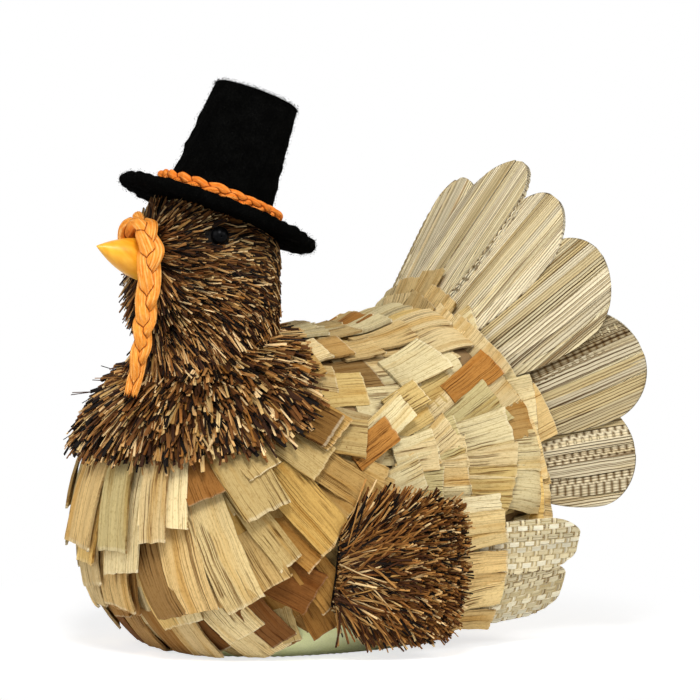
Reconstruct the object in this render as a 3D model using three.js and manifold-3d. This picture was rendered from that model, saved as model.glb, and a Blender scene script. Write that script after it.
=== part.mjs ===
// Harvest turkey figure: a foam bird covered with husk shingles and straw, with a felt hat.
// Millimetres. +Z is up, the bird faces -Y and its left side is +X.
import * as THREE from 'three';
import { mergeVertices } from 'three/addons/utils/BufferGeometryUtils.js';
import Module from 'manifold-3d';

const wasm = await Module();
wasm.setup();

// Clearances
const GLUE_GAP = 0.3; // film of glue between two pieces
const COURSE_GAP = 1.2; // between a shingle and the one that it covers
const SEAT_GAP = 0.8; // between the foam and the root of a shingle
const GROUND_GAP = 1.5; // shingles end this far above the table
const CUT_OVERRUN = 1; // a cut runs on this far past the face that it opens

// Foam body: a rounded egg with a flat base and a raised ridge that carries the tail
const BODY_HALF_WIDTH = 70;
const BODY_HALF_LENGTH = 90;
const BODY_HALF_HEIGHT = 71;
const BODY_FULLNESS = 2.4; // 2 is an ellipsoid, more is boxier
const BODY_CENTRE_HEIGHT = 60; // above the flat base
const RIDGE_HEIGHT = 17;
const RIDGE_FRONT_SPREAD = 11; // degrees
const RIDGE_REAR_SPREAD = 17; // degrees

// Husk shingles, laid in rings round the neck
const NECK_LEAN = 33; // degrees that the middle of the rings leans forward from upright
const FIRST_COURSE = 30; // degrees from that middle
const COURSE_STEP = 13; // degrees
const COURSE_COUNT = 10;
const CHIP_WIDTH = 17.5;
const CHIP_THICKNESS = 1;
const CHIP_REACH = 1.6; // courses that a chip spans
const CHIP_SLIT = 0.7; // between two chips of a course
const ROOT_BAND = 0.3; // share of a course that stays uncut
const LEAST_CHIP = 0.7; // courses; shorter chips are left off

// Tail: nine feathers, the middle one first
const FEATHER_SWEEP = [0, 21, 34, 33, 36]; // degrees to the side, seen from above
const FEATHER_LIFT = [51, 49, 40, 24, 10]; // degrees above level
const FEATHER_REACH = [181, 173, 171, 164, 149]; // body centre to tip
const FEATHER_THICKNESS = 1.2;
const FEATHER_STEM_WIDTH = 18;
const FEATHER_WIDTH = 46;
const FEATHER_STEM_DEPTH = 12; // pushed into the foam
const FEATHER_STAGGER = 1.9; // each feather lies this far behind the one above
const CHIP_TO_FEATHER = 3.4; // degrees kept clear in front of the tail
const CHIP_BEHIND_FEATHER = 6; // degrees kept clear behind it
const COVERT_HEIGHT = 15; // chips that hide the feet of the feathers
const COVERT_FRONT = 2.9; // ahead of the middle feather

// Head and neck
const HEAD_FORWARD = 42; // neck axis ahead of the body's centre
const HEAD_HEIGHT = 168; // widest part of the head above the base
const HEAD_RADIUS = 29.5;
const HEAD_DOME = 31;
const NECK_RADIUS = 26;
const NECK_WAIST_HEIGHT = 137;
const NECK_FLARE = 4;
const NECK_FLARE_DROP = 30; // the flare grows over this stretch below the waist
const NECK_SOCKET = 30; // the neck is cut off this far above the body's centre
const DOWEL_RADIUS = 2.5;
const DOWEL_LENGTH = 80;
const DOWEL_LOW = 82; // lower end above the base

// Face
const BEAK_LENGTH = 25.5;
const BEAK_RADIUS = 9;
const BEAK_FULLNESS = 1.9; // 1 is a straight cone, more is blunter
const BEAK_ROOT = 4; // inside the head
const BEAK_OVER_CHEEK = 0.5; // above the widest part of the head
const BEAK_HEIGHT = HEAD_HEIGHT + BEAK_OVER_CHEEK;
const BEAK_RISE = 18; // degrees
const EYE_RADIUS = 4.2;
const EYE_OVER_CHEEK = 13;
const EYE_HEIGHT = HEAD_HEIGHT + EYE_OVER_CHEEK;
const EYE_TURN = 72; // degrees from straight ahead
const EYE_PROUD = 2.4; // bead centre outside the foam

// Straw
const STRAW_MAT = 1.8; // glued slice that holds the straws
const STRAW_WIDTH = 2.4;
const STRAW_RISE = 20; // degrees off the surface
const HEAD_STRAW_LENGTH = 15;
const HEAD_STRAW_TOP = 14; // highest row above the widest part of the head
const HEAD_STRAW_LOW = 3; // lowest row above the waist
const HEAD_MAT_DROP = 22; // the mat reaches this far below the waist
const COLLAR_STRAW_LENGTH = 21;
const COLLAR_INNER = 11; // degrees that the collar reaches inside the first course
const COLLAR_OUTER = 6; // degrees that its mat reaches over the first course
const COLLAR_REAR_SHARE = 0.62; // straws at the nape are this much of the breast's
const WING_STRAW_LENGTH = 20;

// Hat
const HAT_TILT = 24; // degrees backward
const HAT_ROLL = 1.5; // degrees toward the bird's right
const HAT_BACK = 5; // hat axis behind the neck axis, at the brim
const BRIM_OVER_EYE = 3.8;
const BRIM_HEIGHT = EYE_HEIGHT + BRIM_OVER_EYE; // underside at the hat's axis
const BRIM_RADIUS = 44;
const BRIM_THICKNESS = 5;
const BRIM_LEDGE = 4; // the brim reaches this far under the crown
const CROWN_LOW_RADIUS = 23;
const CROWN_TOP_RADIUS = 18.5;
const CROWN_HEIGHT = 48.5;
const CROWN_AHEAD = 2; // the crown sits this far forward on the brim
const FELT = 2;
const BAND_RADIUS = 2.8; // of the cord round the hat

// Snood: a paper cord over the beak that hangs down the left side
const SNOOD_RADIUS = 4.75;
const SNOOD_ROUTE = [
  [-14, -74, 167.5], [-13.8, -74.1, 171.3], [-12.6, -74.3, 175.9], [-9.6, -74.7, 180.5], [-5.2, -75.1, 183.9],
  [-0.4, -75.4, 185.4], [4.4, -75.7, 185.1], [8.8, -76.2, 182.6], [12.2, -76.8, 178], [14, -77.5, 171],
  [14.5, -78.3, 162], [14.4, -79.3, 150.5], [14.2, -80.7, 139.5], [13.8, -82.7, 127.5], [13, -86, 113.5],
];

// Wings, given for the left one
const WING_MIDDLE = [70, 17, -21]; // from the body's centre
const WING_SEAT = 5.7; // over the foam, so that the wing lies on the shingles
const WING_CHIP_LENGTH = 32;
const WING_FRONT = -42; // straw starts here, measured backward from the middle
const WING_SHINGLES = 14;
const WING_FEATHERS = 34;
const WING_END = 82;
const WING_LEAVE = 30; // behind this the wing runs on straight
const WING_FLARE = 0.3;
const WING_HALF_HEIGHT = 30;
const WING_ROOT_HALF_HEIGHT = 15;
const WING_FEATHER_WIDTH = 23;
const WING_FEATHER_MIDDLE = { upper: -4, lower: 22 }; // downward from the wing's middle
const WING_FEATHER_RISE = { upper: 0, lower: 0.16 }; // upward slope toward the tip
const WING_LAYER_GAP = 0.8;
const WING_LAYER = FEATHER_THICKNESS + WING_LAYER_GAP; // from one layer of the wing to the next
const WING_HEM = 1; // straws and chips stay this far inside the wing's outline
const WING_STRAW_LAP = 4; // the straw's mat covers this much of the shingles
const WING_STRAW_START = 3; // bare mat ahead of the first straws
const WING_STRAW_STOP = 2; // bare mat behind the last ones, and level mat ahead of the shingles
const LOWER_FEATHER_TRIM = 1; // the lower feather is this much shorter

const RAD = Math.PI / 180;
const UP = new THREE.Vector3(0, 0, 1);
const SIDE = new THREE.Vector3(1, 0, 0);
const BODY_CENTRE = new THREE.Vector3(0, 0, BODY_CENTRE_HEIGHT);
const CHIP_LAYER = CHIP_THICKNESS + COURSE_GAP;

// Repeatable scatter between -1 and 1
let scatterState = 7;
function scatter() {
  scatterState = (scatterState * 16807) % 2147483647;
  return (scatterState / 2147483647) * 2 - 1;
}

// Solids

function solidOf(geometry) {
  const bare = geometry.clone();
  bare.deleteAttribute('normal');
  bare.deleteAttribute('uv');
  const merged = mergeVertices(bare, 1e-4);
  return new wasm.Manifold(new wasm.Mesh({
    numProp: 3,
    vertProperties: new Float32Array(merged.attributes.position.array),
    triVerts: new Uint32Array(merged.index.array),
  }));
}

function geometryOf(solid) {
  const mesh = solid.getMesh();
  const geometry = new THREE.BufferGeometry();
  geometry.setAttribute('position', new THREE.BufferAttribute(new Float32Array(mesh.vertProperties), 3));
  geometry.setIndex(new THREE.BufferAttribute(new Uint32Array(mesh.triVerts), 1));
  return geometry;
}

// A cut can leave crumbs, which fall off.
function largestPiece(solid) {
  return solid.decompose().reduce((best, piece) => (piece.volume() > best.volume() ? piece : best));
}

// A plate over a grid of cells. place(column, row, face) puts the corners: face 0 lies inside, face 1
// outside, and columns x rows points out. filled(column, row) tells which cells the plate has.
function gridPlate(columns, rows, loop, place, filled = () => true) {
  const corners = [];
  const corner = (column, row, face) => {
    const point = place(loop ? column % columns : column, row, face);
    return [point.x, point.y, point.z];
  };
  const quad = (a, b, c, d) => corners.push(...a, ...b, ...c, ...a, ...c, ...d);
  const isFilled = (column, row) => {
    if (row < 0 || row >= rows) return false;
    if (loop) return filled((column + columns) % columns, row);
    return column >= 0 && column < columns && filled(column, row);
  };
  for (let column = 0; column < columns; column++) {
    for (let row = 0; row < rows; row++) {
      if (!isFilled(column, row)) continue;
      const at = (dc, dr, face) => corner(column + dc, row + dr, face);
      quad(at(0, 0, 1), at(1, 0, 1), at(1, 1, 1), at(0, 1, 1));
      quad(at(0, 1, 0), at(1, 1, 0), at(1, 0, 0), at(0, 0, 0));
      if (!isFilled(column, row - 1)) quad(at(0, 0, 0), at(1, 0, 0), at(1, 0, 1), at(0, 0, 1));
      if (!isFilled(column, row + 1)) quad(at(1, 1, 0), at(0, 1, 0), at(0, 1, 1), at(1, 1, 1));
      if (!isFilled(column - 1, row)) quad(at(0, 1, 0), at(0, 0, 0), at(0, 0, 1), at(0, 1, 1));
      if (!isFilled(column + 1, row)) quad(at(1, 0, 0), at(1, 1, 0), at(1, 1, 1), at(1, 0, 1));
    }
  }
  const geometry = new THREE.BufferGeometry();
  geometry.setAttribute('position', new THREE.Float32BufferAttribute(corners, 3));
  return geometry;
}

// A solid of revolution about Z from [radius, height] points
function turned(profile, segments) {
  const points = profile.map(([radius, height]) => new THREE.Vector2(radius, height));
  return new THREE.LatheGeometry(points, segments).rotateX(Math.PI / 2);
}

// One straw: a three-sided spike whose root is sunk into its mat
function strawSpike(root, along, normal, length) {
  const across = new THREE.Vector3().crossVectors(normal, along).multiplyScalar(STRAW_WIDTH / 2);
  const sunk = root.clone().addScaledVector(normal, -STRAW_MAT / 2);
  const left = sunk.clone().add(across);
  const right = sunk.clone().sub(across);
  const heel = sunk.clone().addScaledVector(along, -STRAW_WIDTH);
  const tip = root.clone()
    .addScaledVector(along, length * Math.cos(STRAW_RISE * RAD))
    .addScaledVector(normal, length * Math.sin(STRAW_RISE * RAD));
  const faces = [left, right, heel, left, tip, right, right, tip, heel, heel, tip, left];
  const geometry = new THREE.BufferGeometry();
  geometry.setAttribute('position', new THREE.Float32BufferAttribute(faces.flatMap((p) => p.toArray()), 3));
  return solidOf(geometry);
}

const GROUND = solidOf(new THREE.BoxGeometry(600, 600, 100).translate(0, 0, GLUE_GAP - 50));

// Tail fan: feathers point straight away from the body's centre

function featherDirection(index) {
  const place = Math.min(Math.abs(index), FEATHER_SWEEP.length - 1);
  const sweep = FEATHER_SWEEP[place] * RAD * Math.sign(index);
  const lift = FEATHER_LIFT[place] * RAD;
  return new THREE.Vector3(
    Math.sin(sweep) * Math.cos(lift), Math.cos(sweep) * Math.cos(lift), Math.sin(lift));
}

const LAST_FEATHER = FEATHER_SWEEP.length - 1;
const fanKnots = [];
for (let index = -LAST_FEATHER; index <= LAST_FEATHER; index++) fanKnots.push(featherDirection(index));
fanKnots.unshift(fanKnots[0].clone().multiplyScalar(2).sub(fanKnots[1]));
fanKnots.push(fanKnots.at(-1).clone().multiplyScalar(2).sub(fanKnots.at(-2)));
const fanCurve = new THREE.CatmullRomCurve3(fanKnots);

function fanDirection(u) {
  return fanCurve.getPoint((u + LAST_FEATHER + 1) / (2 * LAST_FEATHER + 2)).normalize();
}

function fanNormal(u) {
  const step = 0.01;
  const run = fanDirection(u + step).sub(fanDirection(u - step));
  return new THREE.Vector3().crossVectors(run, fanDirection(u)).normalize();
}

const FAN_SAMPLES = 90;
const fanPath = [];
for (let i = 0; i <= FAN_SAMPLES; i++) {
  const u = ((i / FAN_SAMPLES) * 2 - 1) * (LAST_FEATHER + 0.5);
  fanPath.push({ direction: fanDirection(u), normal: fanNormal(u) });
}

// Degrees from the fan, and whether that is on the side that the feathers show to the front
function nearFan(direction) {
  const near = fanPath.reduce((best, sample) => {
    const cosine = sample.direction.dot(direction);
    return cosine > best.cosine ? { cosine, sample } : best;
  }, { cosine: -2 });
  const inFront = near.sample.normal.dot(direction) > 0;
  return { degrees: Math.acos(Math.min(1, near.cosine)) / RAD, inFront };
}

function clearOfTail(direction) {
  const { degrees, inFront } = nearFan(direction);
  return degrees > (inFront ? CHIP_TO_FEATHER : CHIP_BEHIND_FEATHER);
}

// Body surface: distance from the body's centre along a direction

function bodyRadius(direction) {
  const term = (part, half) => Math.abs(part / half) ** BODY_FULLNESS;
  const sum = term(direction.x, BODY_HALF_WIDTH)
    + term(direction.y, BODY_HALF_LENGTH)
    + term(direction.z, BODY_HALF_HEIGHT);
  const { degrees, inFront } = nearFan(direction);
  const spread = inFront ? RIDGE_FRONT_SPREAD : RIDGE_REAR_SPREAD;
  return sum ** (-1 / BODY_FULLNESS) + RIDGE_HEIGHT * Math.exp(-((degrees / spread) ** 2));
}

const POLE = new THREE.Vector3(0, -Math.sin(NECK_LEAN * RAD), Math.cos(NECK_LEAN * RAD));
const REARWARD = new THREE.Vector3(0, Math.cos(NECK_LEAN * RAD), Math.sin(NECK_LEAN * RAD));

// away: degrees from the middle of the rings. round: degrees from the rear, growing to the left side.
function ringDirection(away, round) {
  return POLE.clone().multiplyScalar(Math.cos(away * RAD))
    .addScaledVector(REARWARD, Math.sin(away * RAD) * Math.cos(round * RAD))
    .addScaledVector(SIDE, Math.sin(away * RAD) * Math.sin(round * RAD));
}

function onBody(direction) {
  return direction.clone().multiplyScalar(bodyRadius(direction)).add(BODY_CENTRE);
}

// A point over the foam, lifted along the surface's normal
function ringPoint(away, round, lift) {
  const step = 0.5;
  const at = (da, dr) => onBody(ringDirection(away + da, round + dr));
  const normal = new THREE.Vector3().crossVectors(
    at(0, step).sub(at(0, -step)), at(step, 0).sub(at(-step, 0))).normalize();
  return { point: at(0, 0).addScaledVector(normal, lift), normal };
}

function foamBody(grow, turns = 32, rings = 18) {
  const profile = Array.from({ length: rings + 1 }, (_, i) => [Math.sin((i / rings) * Math.PI), i / rings]);
  const geometry = turned(profile, turns);
  const position = geometry.attributes.position;
  for (let i = 0; i < position.count; i++) {
    const away = (1 - position.getZ(i)) * 180;
    const round = Math.atan2(position.getX(i), position.getY(i)) / RAD;
    const direction = ringDirection(away, round);
    const point = onBody(direction).addScaledVector(direction, grow);
    position.setXYZ(i, point.x, point.y, point.z);
  }
  return solidOf(geometry);
}

// Shingle courses

function chipReach(away, round, wanted) {
  for (let reach = wanted; reach >= LEAST_CHIP; reach -= 0.05) {
    const tip = away + reach * COURSE_STEP;
    const lift = SEAT_GAP + CHIP_LAYER * reach;
    const samples = [away, (away + tip) / 2, tip];
    const isClear = samples.every((a) => clearOfTail(ringDirection(a, round)));
    if (isClear && ringPoint(tip, round, lift).point.z > GROUND_GAP) return reach;
  }
  return 0;
}

function courseChips(course) {
  const away = FIRST_COURSE + course * COURSE_STEP;
  const girth = 2 * Math.PI * Math.sqrt(BODY_HALF_WIDTH * BODY_HALF_LENGTH) * Math.sin(away * RAD);
  const count = Math.round(girth / CHIP_WIDTH);
  const width = 360 / count;
  const slit = (CHIP_SLIT / girth) * 360;
  return Array.from({ length: count }, (_, i) => {
    const start = (i + (course % 2) / 2) * width;
    const wanted = CHIP_REACH + 0.12 * scatter();
    const reaches = [0, 0.5, 1].map((part) => chipReach(away, start + part * width, wanted));
    return { away, start: start + slit / 2, end: start + width - slit / 2, reach: Math.min(...reaches) };
  });
}

// Runs of neighbouring chips: each run is one strip, cut into chips below its root
function chipRuns(chips) {
  const first = chips.findIndex((chip) => chip.reach === 0);
  if (first < 0) return [chips];
  const ordered = [...chips.slice(first), ...chips.slice(0, first)];
  const runs = [];
  ordered.forEach((chip, i) => {
    if (chip.reach === 0) return;
    if (i === 0 || ordered[i - 1].reach === 0) runs.push([]);
    runs.at(-1).push(chip);
  });
  return runs.filter((run) => run.length > 1);
}

// Chips of the tight rings near the neck bend in the middle to follow the foam.
function shingleStrip(chips, loop, grow) {
  const ring = Math.sqrt(BODY_HALF_WIDTH * BODY_HALF_LENGTH) * Math.sin(chips[0].away * RAD);
  const cells = CHIP_WIDTH ** 2 / (8 * ring) > COURSE_GAP * 0.62 ? 2 : 1;
  const period = cells + 1;
  const columns = chips.length * period - (loop ? 0 : 1);
  return solidOf(gridPlate(columns, 3, loop, (column, row, face) => {
    const chip = chips[Math.floor(column / period)];
    const part = (column % period) / cells;
    const reach = [0, ROOT_BAND, (ROOT_BAND + chip.reach) / 2, chip.reach][row];
    const lift = SEAT_GAP + CHIP_LAYER * reach + CHIP_THICKNESS * face + (face ? grow : -grow);
    const round = chip.start + (chip.end - chip.start) * part;
    return ringPoint(chip.away + reach * COURSE_STEP, round, lift).point;
  }, (column, row) => column % period < cells || row === 0));
}

function middleOf(run) {
  const turn = (run[0].start + run.at(-1).end + (run.at(-1).end < run[0].start ? 360 : 0)) / 2;
  return ((turn + 180) % 360) - 180;
}

function sideName(run) {
  const middle = middleOf(run);
  if (Math.abs(middle) < 20) return 'rump';
  if (Math.abs(middle) > 160) return 'breast';
  return middle > 0 ? 'left' : 'right';
}

// Feathers of the tail

function tailFeather(index, grow) {
  const rows = [0, 0.3, 0.55, 0.72, 0.84, 0.92, 0.975, 1];
  const widest = 0.72;
  const reach = FEATHER_REACH[Math.abs(index)];
  const crest = bodyRadius(fanDirection(index));
  const stem = crest - FEATHER_STEM_DEPTH - grow;
  const spread = fanDirection(index + 0.01).sub(fanDirection(index - 0.01)).length() / 0.02;
  const stagger = -FEATHER_STAGGER * Math.abs(index);
  const halfWidth = (part) => {
    const swell = Math.sin((Math.min(part / widest, 1) * Math.PI) / 2);
    const half = FEATHER_STEM_WIDTH / 2 + ((FEATHER_WIDTH - FEATHER_STEM_WIDTH) / 2) * swell;
    const past = Math.max(0, part - widest) / (1.01 - widest);
    return half * Math.sqrt(1 - past * past) + grow;
  };
  const columns = 3;
  return solidOf(gridPlate(columns, rows.length - 1, false, (column, row, face) => {
    const radius = stem + (reach - stem) * rows[row];
    const across = halfWidth(rows[row]) * ((column / columns) * 2 - 1);
    const u = index + across / (radius * spread);
    const lift = stagger + (face ? 1 : -1) * (FEATHER_THICKNESS / 2 + grow);
    return fanDirection(u).multiplyScalar(radius).addScaledVector(fanNormal(u), lift).add(BODY_CENTRE);
  }));
}

// A strip of chips that stands on the ridge and hides the feet of the feathers
function tailCoverts() {
  const count = 2 * (2 * LAST_FEATHER + 1);
  const heights = Array.from({ length: count }, () => COVERT_HEIGHT * (1 + 0.2 * scatter()));
  const slit = 0.03;
  return solidOf(gridPlate(count * 2 - 1, 3, false, (column, row, face) => {
    const chip = Math.floor(column / 2);
    const edge = (chip + (column % 2 ? 1 - slit : slit)) / count;
    const u = (edge * 2 - 1) * (LAST_FEATHER + 0.45);
    const direction = fanDirection(u);
    const radius = bodyRadius(direction) + SEAT_GAP + heights[chip] * [0, ROOT_BAND, (1 + ROOT_BAND) / 2, 1][row];
    const lift = COVERT_FRONT - FEATHER_STAGGER * Math.abs(u) + CHIP_THICKNESS * face;
    return direction.multiplyScalar(radius).addScaledVector(fanNormal(u), lift).add(BODY_CENTRE);
  }, (column, row) => column % 2 === 0 || row === 0));
}

// Head and neck: a turned foam column

function headRadius(height) {
  if (height >= HEAD_HEIGHT) {
    return HEAD_RADIUS * Math.sqrt(Math.max(0, 1 - ((height - HEAD_HEIGHT) / HEAD_DOME) ** 2));
  }
  const ease = (from, to) => THREE.MathUtils.smoothstep(height, from, to);
  const flare = NECK_FLARE * (1 - ease(NECK_WAIST_HEIGHT - NECK_FLARE_DROP, NECK_WAIST_HEIGHT));
  return NECK_RADIUS + (HEAD_RADIUS - NECK_RADIUS) * ease(NECK_WAIST_HEIGHT, HEAD_HEIGHT) + flare;
}

function headSolid(grow, low, segments = 18) {
  const top = HEAD_HEIGHT + HEAD_DOME;
  const steps = 8;
  const domeSteps = 4;
  const profile = [[0, low]];
  for (let i = 0; i < steps; i++) {
    const height = low + (HEAD_HEIGHT - low) * (i / steps);
    profile.push([headRadius(height) + grow, height]);
  }
  for (let i = 0; i < domeSteps; i++) {
    const turn = (i / domeSteps) * (Math.PI / 2);
    profile.push([(HEAD_RADIUS + grow) * Math.cos(turn), HEAD_HEIGHT + (HEAD_DOME + grow) * Math.sin(turn)]);
  }
  profile.push([0, top + grow]);
  return solidOf(turned(profile, segments).translate(0, -HEAD_FORWARD, 0));
}

// Hat frame: its origin is on the brim's underside
const hat = new THREE.Group();
hat.position.set(0, HAT_BACK - HEAD_FORWARD, BRIM_HEIGHT);
hat.rotation.set(-HAT_TILT * RAD, -HAT_ROLL * RAD, 0);
hat.updateMatrix();

function hatCut() {
  const box = new THREE.BoxGeometry(300, 300, 200).translate(0, 0, 100 - GLUE_GAP);
  return solidOf(box.applyMatrix4(hat.matrix));
}

// Face pieces, with room to grow for the cuts that clear them

function beakSolid(grow) {
  const steps = 6;
  const profile = [[0, -BEAK_ROOT], [BEAK_RADIUS + grow, -BEAK_ROOT]];
  for (let i = 0; i < steps; i++) {
    const part = i / steps;
    profile.push([BEAK_RADIUS * (1 - part ** BEAK_FULLNESS) + grow, part * BEAK_LENGTH]);
  }
  profile.push([0, BEAK_LENGTH + grow]);
  const geometry = turned(profile, 16).rotateX((90 - BEAK_RISE) * RAD);
  return solidOf(geometry.translate(0, -HEAD_FORWARD - headRadius(BEAK_HEIGHT), BEAK_HEIGHT));
}

function eyeSolid(side, grow) {
  const out = headRadius(EYE_HEIGHT) + EYE_PROUD;
  const geometry = new THREE.SphereGeometry(EYE_RADIUS + grow, 10, 7);
  return solidOf(geometry.translate(
    side * out * Math.sin(EYE_TURN * RAD), -HEAD_FORWARD - out * Math.cos(EYE_TURN * RAD), EYE_HEIGHT));
}

function snoodSolid(grow) {
  const route = new THREE.CatmullRomCurve3(SNOOD_ROUTE.map((point) => new THREE.Vector3(...point)));
  const section = new THREE.Shape().absarc(0, 0, SNOOD_RADIUS + grow, 0, 2 * Math.PI);
  const settings = { steps: 20, curveSegments: 5, extrudePath: route, bevelEnabled: false };
  return solidOf(new THREE.ExtrudeGeometry(section, settings));
}

// Straw on the head, the collar and the wings

function headStraw() {
  const rows = 8;
  const perRow = 12;
  const top = HEAD_HEIGHT + HEAD_STRAW_TOP;
  const lowest = NECK_WAIST_HEIGHT + HEAD_STRAW_LOW;
  const spikes = [];
  for (let row = 0; row < rows; row++) {
    const height = top - (top - lowest) * (row / (rows - 1));
    for (let i = 0; i < perRow; i++) {
      const turn = ((i + (row % 2) / 2 + 0.15 * scatter()) / perRow) * 2 * Math.PI;
      const out = new THREE.Vector3(Math.sin(turn), -Math.cos(turn), 0);
      const slope = (headRadius(height + 1) - headRadius(height - 1)) / 2;
      const normal = out.clone().addScaledVector(UP, -slope).normalize();
      const root = out.clone().multiplyScalar(headRadius(height) + GLUE_GAP + STRAW_MAT);
      root.add(new THREE.Vector3(0, -HEAD_FORWARD, height));
      const back = THREE.MathUtils.smoothstep(height, NECK_WAIST_HEIGHT, HEAD_HEIGHT);
      const flow = new THREE.Vector3(0, 0.9 * back, -1);
      flow.addScaledVector(normal, -flow.dot(normal)).normalize();
      spikes.push(strawSpike(root, flow, normal, HEAD_STRAW_LENGTH * (1 + 0.15 * scatter())));
    }
  }
  const low = NECK_WAIST_HEIGHT - HEAD_MAT_DROP;
  return wasm.Manifold.union(spikes)
    .add(headSolid(GLUE_GAP + STRAW_MAT, low))
    .subtract(headSolid(GLUE_GAP, low - CUT_OVERRUN));
}

const COLLAR_START = FIRST_COURSE - COLLAR_INNER;
const COLLAR_END = FIRST_COURSE + COLLAR_OUTER;

function collarLift(away) {
  return SEAT_GAP + CHIP_LAYER * (1 + Math.max(0, (away - FIRST_COURSE) / COURSE_STEP));
}

function collarMat(grow) {
  const turns = 34;
  const rows = 3;
  return solidOf(gridPlate(turns, rows, true, (column, row, face) => {
    const away = COLLAR_START + (COLLAR_END - COLLAR_START) * (row / rows);
    const lift = collarLift(away) + (face ? STRAW_MAT + grow : -grow);
    return ringPoint(away, (column / turns) * 360, lift).point;
  }));
}

function collarStraw() {
  const spikes = [];
  const rows = 3;
  const perRow = 32;
  for (let row = 0; row < rows; row++) {
    const away = COLLAR_START + (COLLAR_END - COLLAR_START) * ((row + 0.5) / rows);
    const lift = collarLift(away) + STRAW_MAT;
    for (let i = 0; i < perRow; i++) {
      const round = ((i + (row % 2) / 2 + 0.15 * scatter()) / perRow) * 360;
      const { point, normal } = ringPoint(away, round, lift);
      const along = ringPoint(away + 1, round, lift).point.sub(point).normalize();
      const rear = (1 + Math.cos(round * RAD)) / 2;
      const share = THREE.MathUtils.lerp(1, COLLAR_REAR_SHARE, rear) * (1 + 0.15 * scatter());
      spikes.push(strawSpike(point, along, normal, COLLAR_STRAW_LENGTH * share));
    }
  }
  return wasm.Manifold.union(spikes).add(collarMat(0));
}

// Left wing: down and back are measured over the flank from the wing's middle
const wingMiddle = new THREE.Vector3(...WING_MIDDLE);
const wingOut = wingMiddle.clone().normalize();
const wingBack = new THREE.Vector3(0, 1, 0).addScaledVector(wingOut, -wingOut.y).normalize();
const wingDown = new THREE.Vector3().crossVectors(wingBack, wingOut);

function wingPoint(down, back, lift) {
  const near = Math.min(back, WING_LEAVE);
  const at = (d, b) => onBody(
    wingMiddle.clone().addScaledVector(wingDown, d).addScaledVector(wingBack, b).normalize());
  const run = at(down, near + 0.5).sub(at(down, near - 0.5));
  const normal = new THREE.Vector3().crossVectors(at(down + 0.5, near).sub(at(down - 0.5, near)), run).normalize();
  const ahead = run.normalize().addScaledVector(normal, WING_FLARE).normalize();
  const point = at(down, near).addScaledVector(normal, lift).addScaledVector(ahead, back - near);
  return { point, normal, along: run };
}

function wingStrawLift(back) {
  const rise = 2 * WING_LAYER + CHIP_THICKNESS + 2 * GLUE_GAP;
  return WING_SEAT + rise * THREE.MathUtils.smoothstep(back, WING_FRONT, WING_SHINGLES - WING_STRAW_STOP);
}

function wingHalfHeight(back) {
  const part = THREE.MathUtils.clamp((back - WING_FRONT) / (WING_SHINGLES - WING_FRONT), 0, 1);
  return WING_ROOT_HALF_HEIGHT + (WING_HALF_HEIGHT - WING_ROOT_HALF_HEIGHT) * Math.sqrt(part);
}

function wingStraw() {
  const columns = 6;
  const rows = 5;
  const end = WING_SHINGLES + WING_STRAW_LAP;
  const mat = gridPlate(columns, rows, false, (column, row, face) => {
    const back = WING_FRONT + (end - WING_FRONT) * (row / rows);
    const down = wingHalfHeight(back) * ((column / columns) * 2 - 1);
    return wingPoint(down, back, wingStrawLift(back) + STRAW_MAT * face).point;
  });
  const spikes = [];
  const strawRows = 8;
  const perRow = 7;
  for (let row = 0; row < strawRows; row++) {
    const first = WING_FRONT + WING_STRAW_START;
    const back = first + (end - WING_STRAW_STOP - first) * (row / (strawRows - 1));
    for (let i = 0; i < perRow; i++) {
      const part = ((i + 0.5 + (row % 2 ? 0.2 : -0.2) + 0.08 * scatter()) / perRow) * 2 - 1;
      const down = (wingHalfHeight(back) - WING_HEM) * part;
      const { point, normal } = wingPoint(down, back, wingStrawLift(back) + STRAW_MAT);
      const ahead = back + 2;
      const onward = wingPoint((wingHalfHeight(ahead) - WING_HEM) * part, ahead, wingStrawLift(ahead) + STRAW_MAT).point;
      const along = onward.sub(point);
      along.addScaledVector(normal, -along.dot(normal)).normalize();
      spikes.push(strawSpike(point, along, normal, WING_STRAW_LENGTH * (1 + 0.12 * scatter())));
    }
  }
  return wasm.Manifold.union(spikes).add(solidOf(mat));
}

function wingShingles() {
  const count = 5;
  const half = WING_HALF_HEIGHT - WING_HEM;
  const reaches = Array.from({ length: count }, () => WING_CHIP_LENGTH * (1 + 0.1 * scatter()));
  const strip = gridPlate(count * 2 - 1, 3, false, (column, row, face) => {
    const chip = Math.floor(column / 2);
    const back = WING_SHINGLES + reaches[chip] * [0, ROOT_BAND, (1 + ROOT_BAND) / 2, 1][row];
    const edge = (chip + (column % 2)) / count;
    const down = half * (edge * 2 - 1) + (column % 2 ? -CHIP_SLIT : CHIP_SLIT) / 2;
    return wingPoint(down, back, WING_SEAT + 2 * WING_LAYER + CHIP_THICKNESS * face).point;
  }, (column, row) => column % 2 === 0 || row === 0);
  return solidOf(strip);
}

function wingFeather(place) {
  const rows = [0, 0.35, 0.62, 0.78, 0.9, 0.97, 1];
  const widest = 0.62;
  const layer = place === 'upper' ? 1 : 0;
  const columns = 3;
  return solidOf(gridPlate(columns, rows.length - 1, false, (column, row, face) => {
    const past = Math.max(0, rows[row] - widest) / (1.03 - widest);
    const half = (WING_FEATHER_WIDTH / 2) * Math.sqrt(1 - past * past);
    const run = (WING_END - WING_FEATHERS - LOWER_FEATHER_TRIM * (1 - layer)) * rows[row];
    const down = WING_FEATHER_MIDDLE[place] - WING_FEATHER_RISE[place] * run + half * ((column / columns) * 2 - 1);
    const lift = WING_SEAT + WING_LAYER * layer + FEATHER_THICKNESS * face;
    return wingPoint(down, WING_FEATHERS + run, lift).point;
  }));
}

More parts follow.
